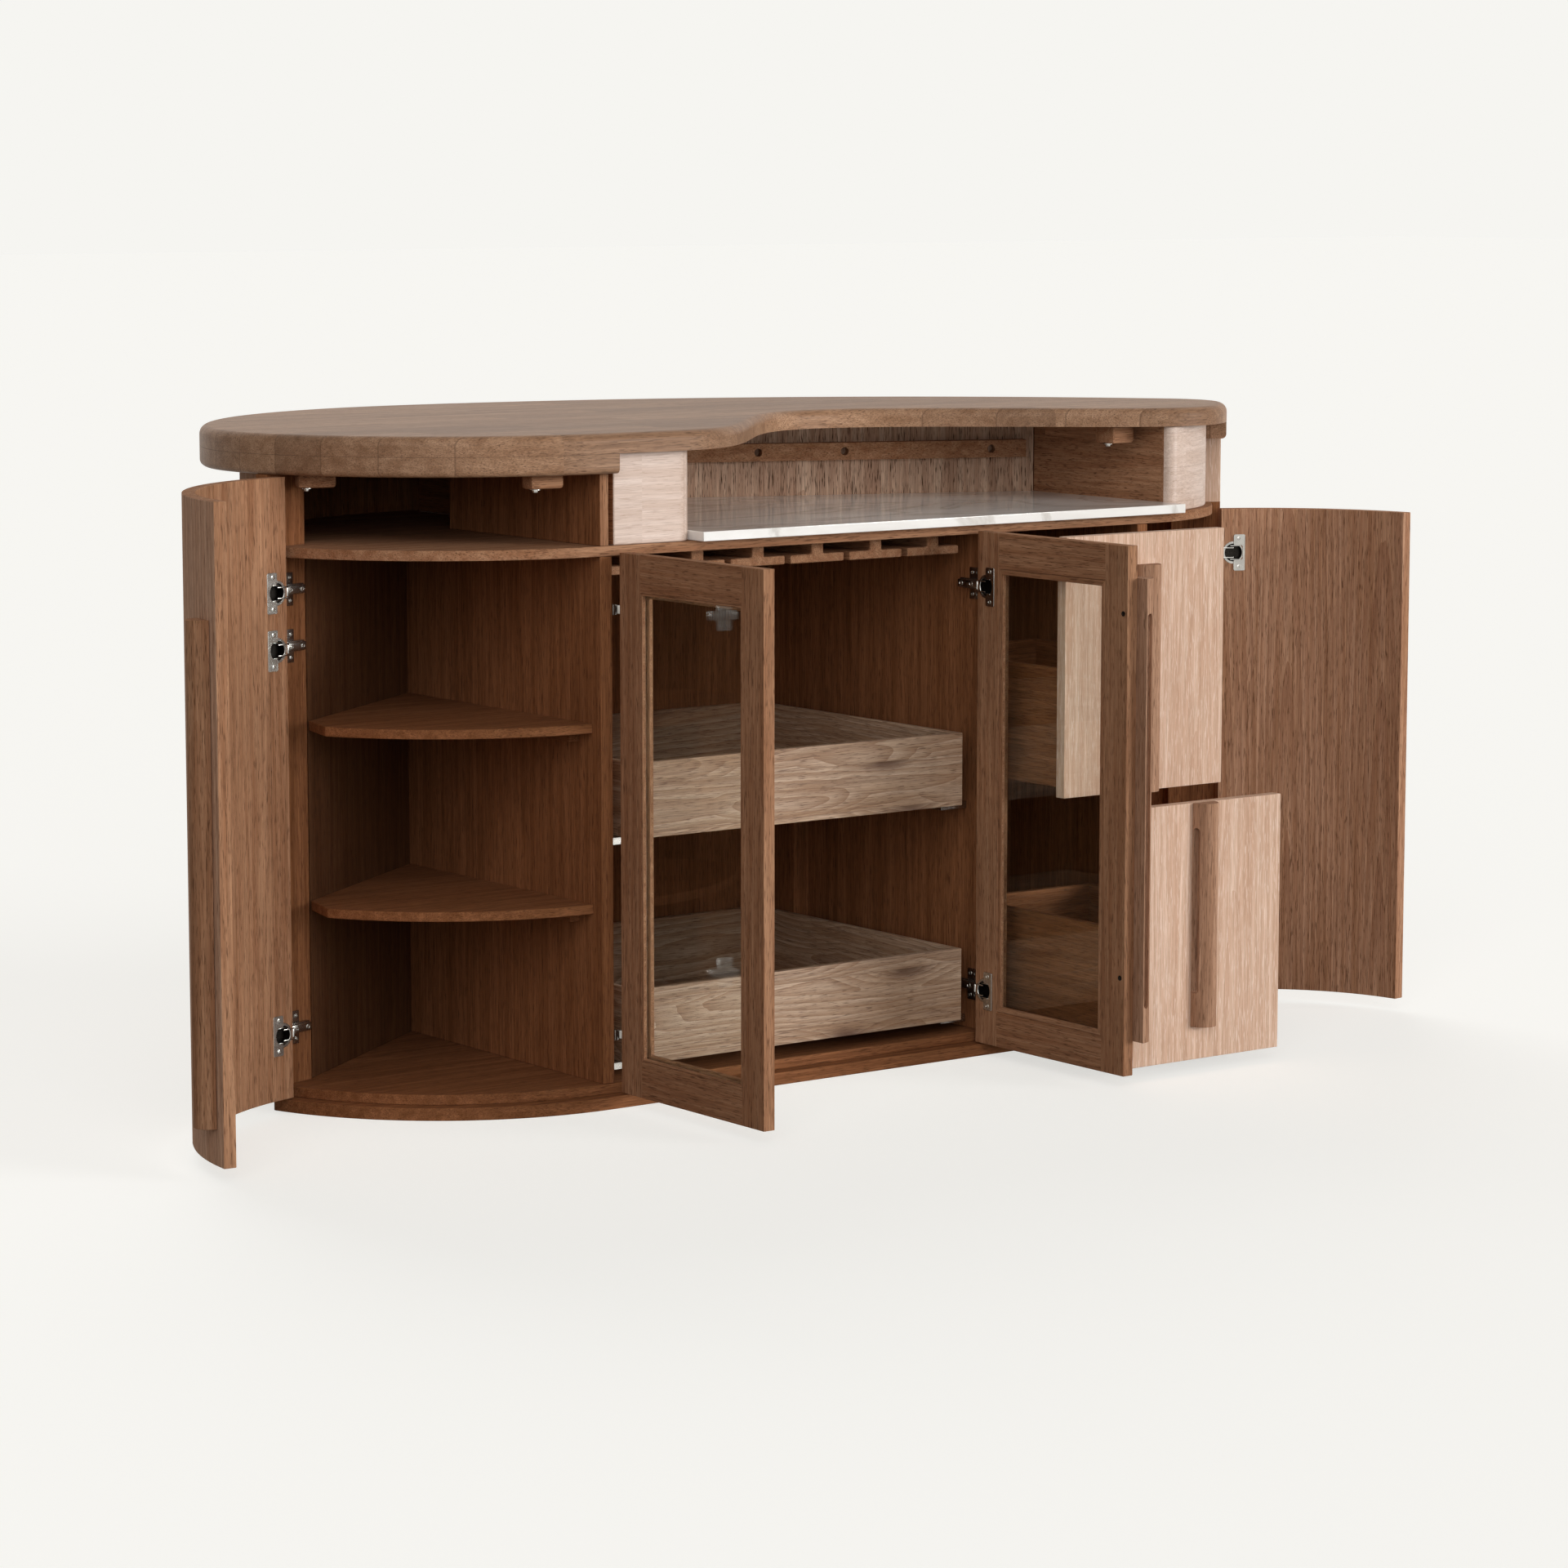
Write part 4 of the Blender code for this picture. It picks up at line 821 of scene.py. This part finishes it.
def close(bm):
    bmesh.ops.remove_doubles(bm, verts=bm.verts, dist=1e-6)
    bmesh.ops.recalc_face_normals(bm, faces=bm.faces)
    shade(bm, over=ROUND_SHADE)


print("shapes for small metal parts ready")

# %% Cup and flange
# Radius and height of the cup's wall, from the middle of its floor round its rim to the floor's back
CUP = [(0, -0.0128), (0.0150, -0.0128), (0.0152, 0.0004), (0.0156, 0.0009), (0.0190, 0.0009),
       (0.0194, 0.0006), (0.0194, 0.0), (0.0172, 0.0), (0.0172, -0.0137), (0, -0.0137)]
# Inside this radius the cup's hollow takes the dark metal as painted shade
CUP_SHADE_RADIUS = 0.0153       # radius inside which the cup is dark
# Outline of the flange: towards the free edge of the door, and up
FLANGE = [(0.0, 0.0125), (0.0, 0.0315), (0.0215, 0.0315), (0.0215, -0.0315), (0.0, -0.0315),
          (0.0, -0.0125), (0.0162, -0.0125), (0.0162, 0.0125)]
FLANGE_LOW, FLANGE_THICK = 0.0007, 0.0011
FLANGE_CORNER, FLANGE_EASE = 0.003, 0.0003


def cup(bm, at):
    before = len(bm.faces)
    turned(bm, at, CUP)
    for face in list(bm.faces)[before:]:
        spot = at.inverted() @ face.calc_center_median()
        # Faces in the hollow take the dark metal as painted shade
        face.material_index = int(spot.z < 0 and spot.xy.length < CUP_SHADE_RADIUS)


def flange(bm, at):
    sheet = bmesh.new()
    sheet.faces.new([sheet.verts.new((x, y, FLANGE_LOW)) for x, y in FLANGE])
    raised = bmesh.ops.extrude_face_region(sheet, geom=sheet.faces[:])["geom"]
    bmesh.ops.translate(sheet, vec=(0, 0, FLANGE_THICK),
                        verts=[v for v in raised if isinstance(v, bmesh.types.BMVert)])
    bmesh.ops.recalc_face_normals(sheet, faces=sheet.faces)
    upright = [e for e in sheet.edges if abs(e.verts[0].co.z - e.verts[1].co.z) > FLANGE_THICK / 2]
    bevel(sheet, upright, FLANGE_CORNER, 4)
    ease(sheet, FLANGE_EASE, 1, over=60)
    bmesh.ops.transform(sheet, matrix=at, verts=sheet.verts)
    mesh = bpy.data.meshes.new("flange")
    sheet.to_mesh(mesh)
    sheet.free()
    bm.from_mesh(mesh)
    bpy.data.meshes.remove(mesh)


print("cup", round(2000 * CUP[5][0]), "mm across its rim")

# %% [markdown]
# ## Cups in the doors
# The cup holes of the CAD doors tell where each cup goes: a hole's floor is a round face of a known
# size. From there, one axis points out of the door and one to its free edge, so a hinge that is drawn
# once fits every door.

# %% Cups and flanges in the doors
CUP_DEPTH, HOLE_RADIUS = 0.0138, 0.0175
FLANGE_SCREW, FLANGE_SCREW_R = (0.0098, 0.0245, 0.0018), 0.0036
CHEEK = ((0.002, 0.0119, -0.003), (0.016, 0.0012, 0.010), 0.0004)       # place, size, soft edge
LINK = ((-0.0115, 0.0084, 0.0019), (0.023, 0.0020, 0.0018), 0.0005)
cups = {}
for node, body in (("left_door", "left_door"), ("right_door", "right_door"),
                   ("glass_door_left_frame", "glass_door_left"),
                   ("glass_door_right_frame", "glass_door_right")):
    door = copy_of(node)
    middle = sum((v.co for v in door.verts), Vector()) / len(door.verts)
    bm = bmesh.new()
    for face in door.faces:
        # The floor of a hole is a face with many corners and the area of its circle
        area = face.calc_area() / (math.pi * HOLE_RADIUS ** 2)
        if len(face.verts) > 20 and 0.9 < area < 1.1:
            off = face.normal.copy()
            free = UP.cross(off)
            spot = face.calc_center_median() + off * CUP_DEPTH
            if (middle - spot).dot(free) < 0:
                free = -free
            at = at_place(spot, free, off)
            cup(bm, at)
            flange(bm, at)
            for way in (-1, 1):
                for (x, y, z), size, soft in (CHEEK, LINK):
                    block(bm, at, (x, way * y, z), size, soft)
                x, y, z = FLANGE_SCREW
                screw(bm, at @ Matrix.Translation((x, way * y, z)), FLANGE_SCREW_R)
            cups.setdefault(body, []).append(spot.z)
    door.free()
    close(bm)
    hinge = finish_piece(body + "_hinge_cups", bm, nickel, body)
    # The second material is the dark metal, painted shade in the cup hollows
    hinge.data.materials.append(dark_steel_and_cup_shade)
print("cups at heights", {k: [round(z, 3) for z in sorted(v)] for k, v in cups.items()})

# %% [markdown]
# ## Handle screws
# The handle of the right glazed door is held by two screws through the frame, whose dark heads show
# on its inner side. They are turned parts, so the same spun screw serves in a larger size.

# %% Handle screws
HANDLE_SCREW_Y, HANDLE_SCREW_HEIGHTS, HANDLE_SCREW_R = -0.7725, (0.180, 0.759), 0.0042
bm = bmesh.new()
inner_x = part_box("glass_door_right_frame")[0].x
for z in HANDLE_SCREW_HEIGHTS:
    screw(bm, at_place(Vector((inner_x, HANDLE_SCREW_Y, z)), UP, Vector((-1, 0, 0))), HANDLE_SCREW_R)
close(bm)
finish_piece("glass_door_right_handle_screws", bm, dark_steel_and_cup_shade, "glass_door_right")
print(len(HANDLE_SCREW_HEIGHTS), "handle screws")

# %% [markdown]
# ## Arms on the carcass
# A hinge arm is folded steel on a cross plate. Its CAD solid shows where it sits: the face nearest to
# the wall is its seat, and the face furthest to the front is its tip. The strap leans from the arm
# towards that tip, and goes into the hollow of the cup as the door shuts.

# %% Arms and plates on the carcass
CARRIER = {"left_door": "left_post", "right_door": "right_post",
           "glass_door_left": "partition_left", "glass_door_right": "partition_middle"}
PLATE = ((0.002, 0, 0.0012), (0.027, 0.052, 0.0024), 0.0007)            # place, size, soft edge
FOOT = ((0.007, 0, 0.0045), (0.054, 0.0165, 0.0070), 0.0010)
ARM = ((0.0065, 0, 0.0108), (0.051, 0.0128, 0.0070), 0.0012)
STRAP_START = Vector((-0.017, 0, 0.0105))
STRAP_WIDTH, STRAP_THICK, STRAP_SOFT = 0.0138, 0.0044, 0.0012
STRAP_BACK, STRAP_SHORT = 0.0038, 0.0066        # set back, and shortened, to stay clear of the cup
PLATE_SCREWS = [(x, way * 0.0180, 0.0024) for way in (-1, 1) for x in (-0.0045, 0.0085)]
ARM_SCREWS = [(-0.002, 0, 0.0143), (0.024, 0, 0.0143)]
PLATE_SCREW_R, ARM_SCREW_R = 0.0036, 0.0046
LEAST_SEAT = 3e-4         # square metres


def seat_and_tip(node, body):
    bm = copy_of(node)
    wall = BVHTree.FromBMesh(copy_of(CARRIER[body]))
    walls = [f for f in bm.faces if abs(f.normal.z) < 0.1]
    seat = min((f for f in walls if f.calc_area() > LEAST_SEAT),
               key=lambda f: wall.find_nearest(f.calc_center_median())[3])
    off = -seat.normal
    deep = UP.cross(off)
    middle = seat.calc_center_median()
    reach = [(v.co - middle).dot(deep) for v in bm.verts]
    if max(reach) > -min(reach):
        deep = -deep
    front = min(walls, key=lambda f: (f.calc_center_median() - middle).dot(deep))
    tip = front.calc_center_median()
    bm.free()
    return middle, deep, off, tip


def hinge_arm(node, body):
    middle, deep, off, tip = seat_and_tip(node, body)
    low, high = (corner.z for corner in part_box(node))
    bm = bmesh.new()
    for z in [z for z in cups[body] if low < z < high]:
        at = at_place(Vector((middle.x, middle.y, z)), deep, off)
        for part in (PLATE, FOOT, ARM):
            block(bm, at, *part)
        nose = at.inverted() @ Vector((tip.x, tip.y, z))
        run = nose - STRAP_START
        lean = at @ Matrix.Translation((STRAP_START + nose) / 2) @ Matrix.Rotation(
            -math.atan2(run.z, run.x), 4, "Y")
        block(bm, lean, (-STRAP_BACK, 0, 0), (run.length - STRAP_SHORT, STRAP_WIDTH, STRAP_THICK),
              STRAP_SOFT)
        for places, radius in ((PLATE_SCREWS, PLATE_SCREW_R), (ARM_SCREWS, ARM_SCREW_R)):
            for place in places:
                screw(bm, at @ Matrix.Translation(place), radius)
    close(bm)
    return finish_piece(node + "_pressed", bm, nickel, "carcass", (node,))


arms = [hinge_arm(node, node.split("_hinge_")[0]) for node in sorted(frame["nodes"])
        if "_hinge_" in node]
print(len(arms), "hinge arms pressed")

# %% [markdown]
# ## Blocks and bolts under the top
# The top is held from below by small wooden blocks, each with one bolt whose bright head hangs
# under it. They sit against the rim and the slab, tucked behind the front edges. A short cleat runs
# along the head of the niche's right wall.

# %% Blocks and bolts
BOLT = [(0, -0.0045), (0.0030, -0.0045), (0.0048, -0.0036), (0.0052, -0.0012), (0.0052, 0.0),
        (0.0095, 0.0), (0.0095, 0.0012), (0, 0.0012)]       # radius and height, washer and head
BOLT_OFF, WASHER = -0.014, 0.0012
HAIR_GAP = 0.0003
FLAT_BLOCK, SQUARE_BLOCK, BLOCK_ROUND = (0.060, 0.030, 0.022), (0.048, 0.048, 0.030), 0.005
under_slab, under_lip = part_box("countertop")[0].z - HAIR_GAP, rim_low - HAIR_GAP
# Name, place, height of its head, turn in degrees and size
for name, x, y, top, turn, size in (("left", -0.735, -0.128, under_lip, -18, FLAT_BLOCK),
                                    ("middle", -0.470, -0.358, under_lip, 0, FLAT_BLOCK),
                                    ("right", 0.742, -0.285, under_slab, 0, SQUARE_BLOCK)):
    at = Matrix.Translation((x, y, top)) @ Matrix.Rotation(math.radians(turn), 4, "Z")
    bm = bmesh.new()
    block(bm, at, (0, 0, -size[2] / 2), size, BLOCK_ROUND)
    shade(bm, over=ROUND_SHADE)
    lay_grain(bm, "top_block_" + name, "x")
    finish_piece("top_block_" + name, bm, oak_brown, "carcass")
    bm = bmesh.new()
    turned(bm, at @ Matrix.Translation((BOLT_OFF, 0, -WASHER - size[2])), BOLT, 20)
    close(bm)
    finish_piece("top_bolt_" + name, bm, nickel, "carcass")
print("three blocks with a bolt each")

# %% Cleat by the niche
CLEAT, CLEAT_EASE = (0.020, 0.180, 0.028), 0.0015
CLEAT_Y, CLEAT_GAP = -0.165, 0.0007
wall_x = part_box("stone_worktop")[1].x
bm = bmesh.new()
at = Matrix.Translation((wall_x - CLEAT[0] / 2 - CLEAT_GAP, CLEAT_Y, under_slab))
block(bm, at, (0, 0, -CLEAT[2] / 2), CLEAT, CLEAT_EASE)
shade(bm, over=ROUND_SHADE)
lay_grain(bm, "niche_cleat", "y")
finish_piece("niche_cleat", bm, oak_brown, "carcass")
print("cleat", round(1000 * CLEAT[1]), "mm long")
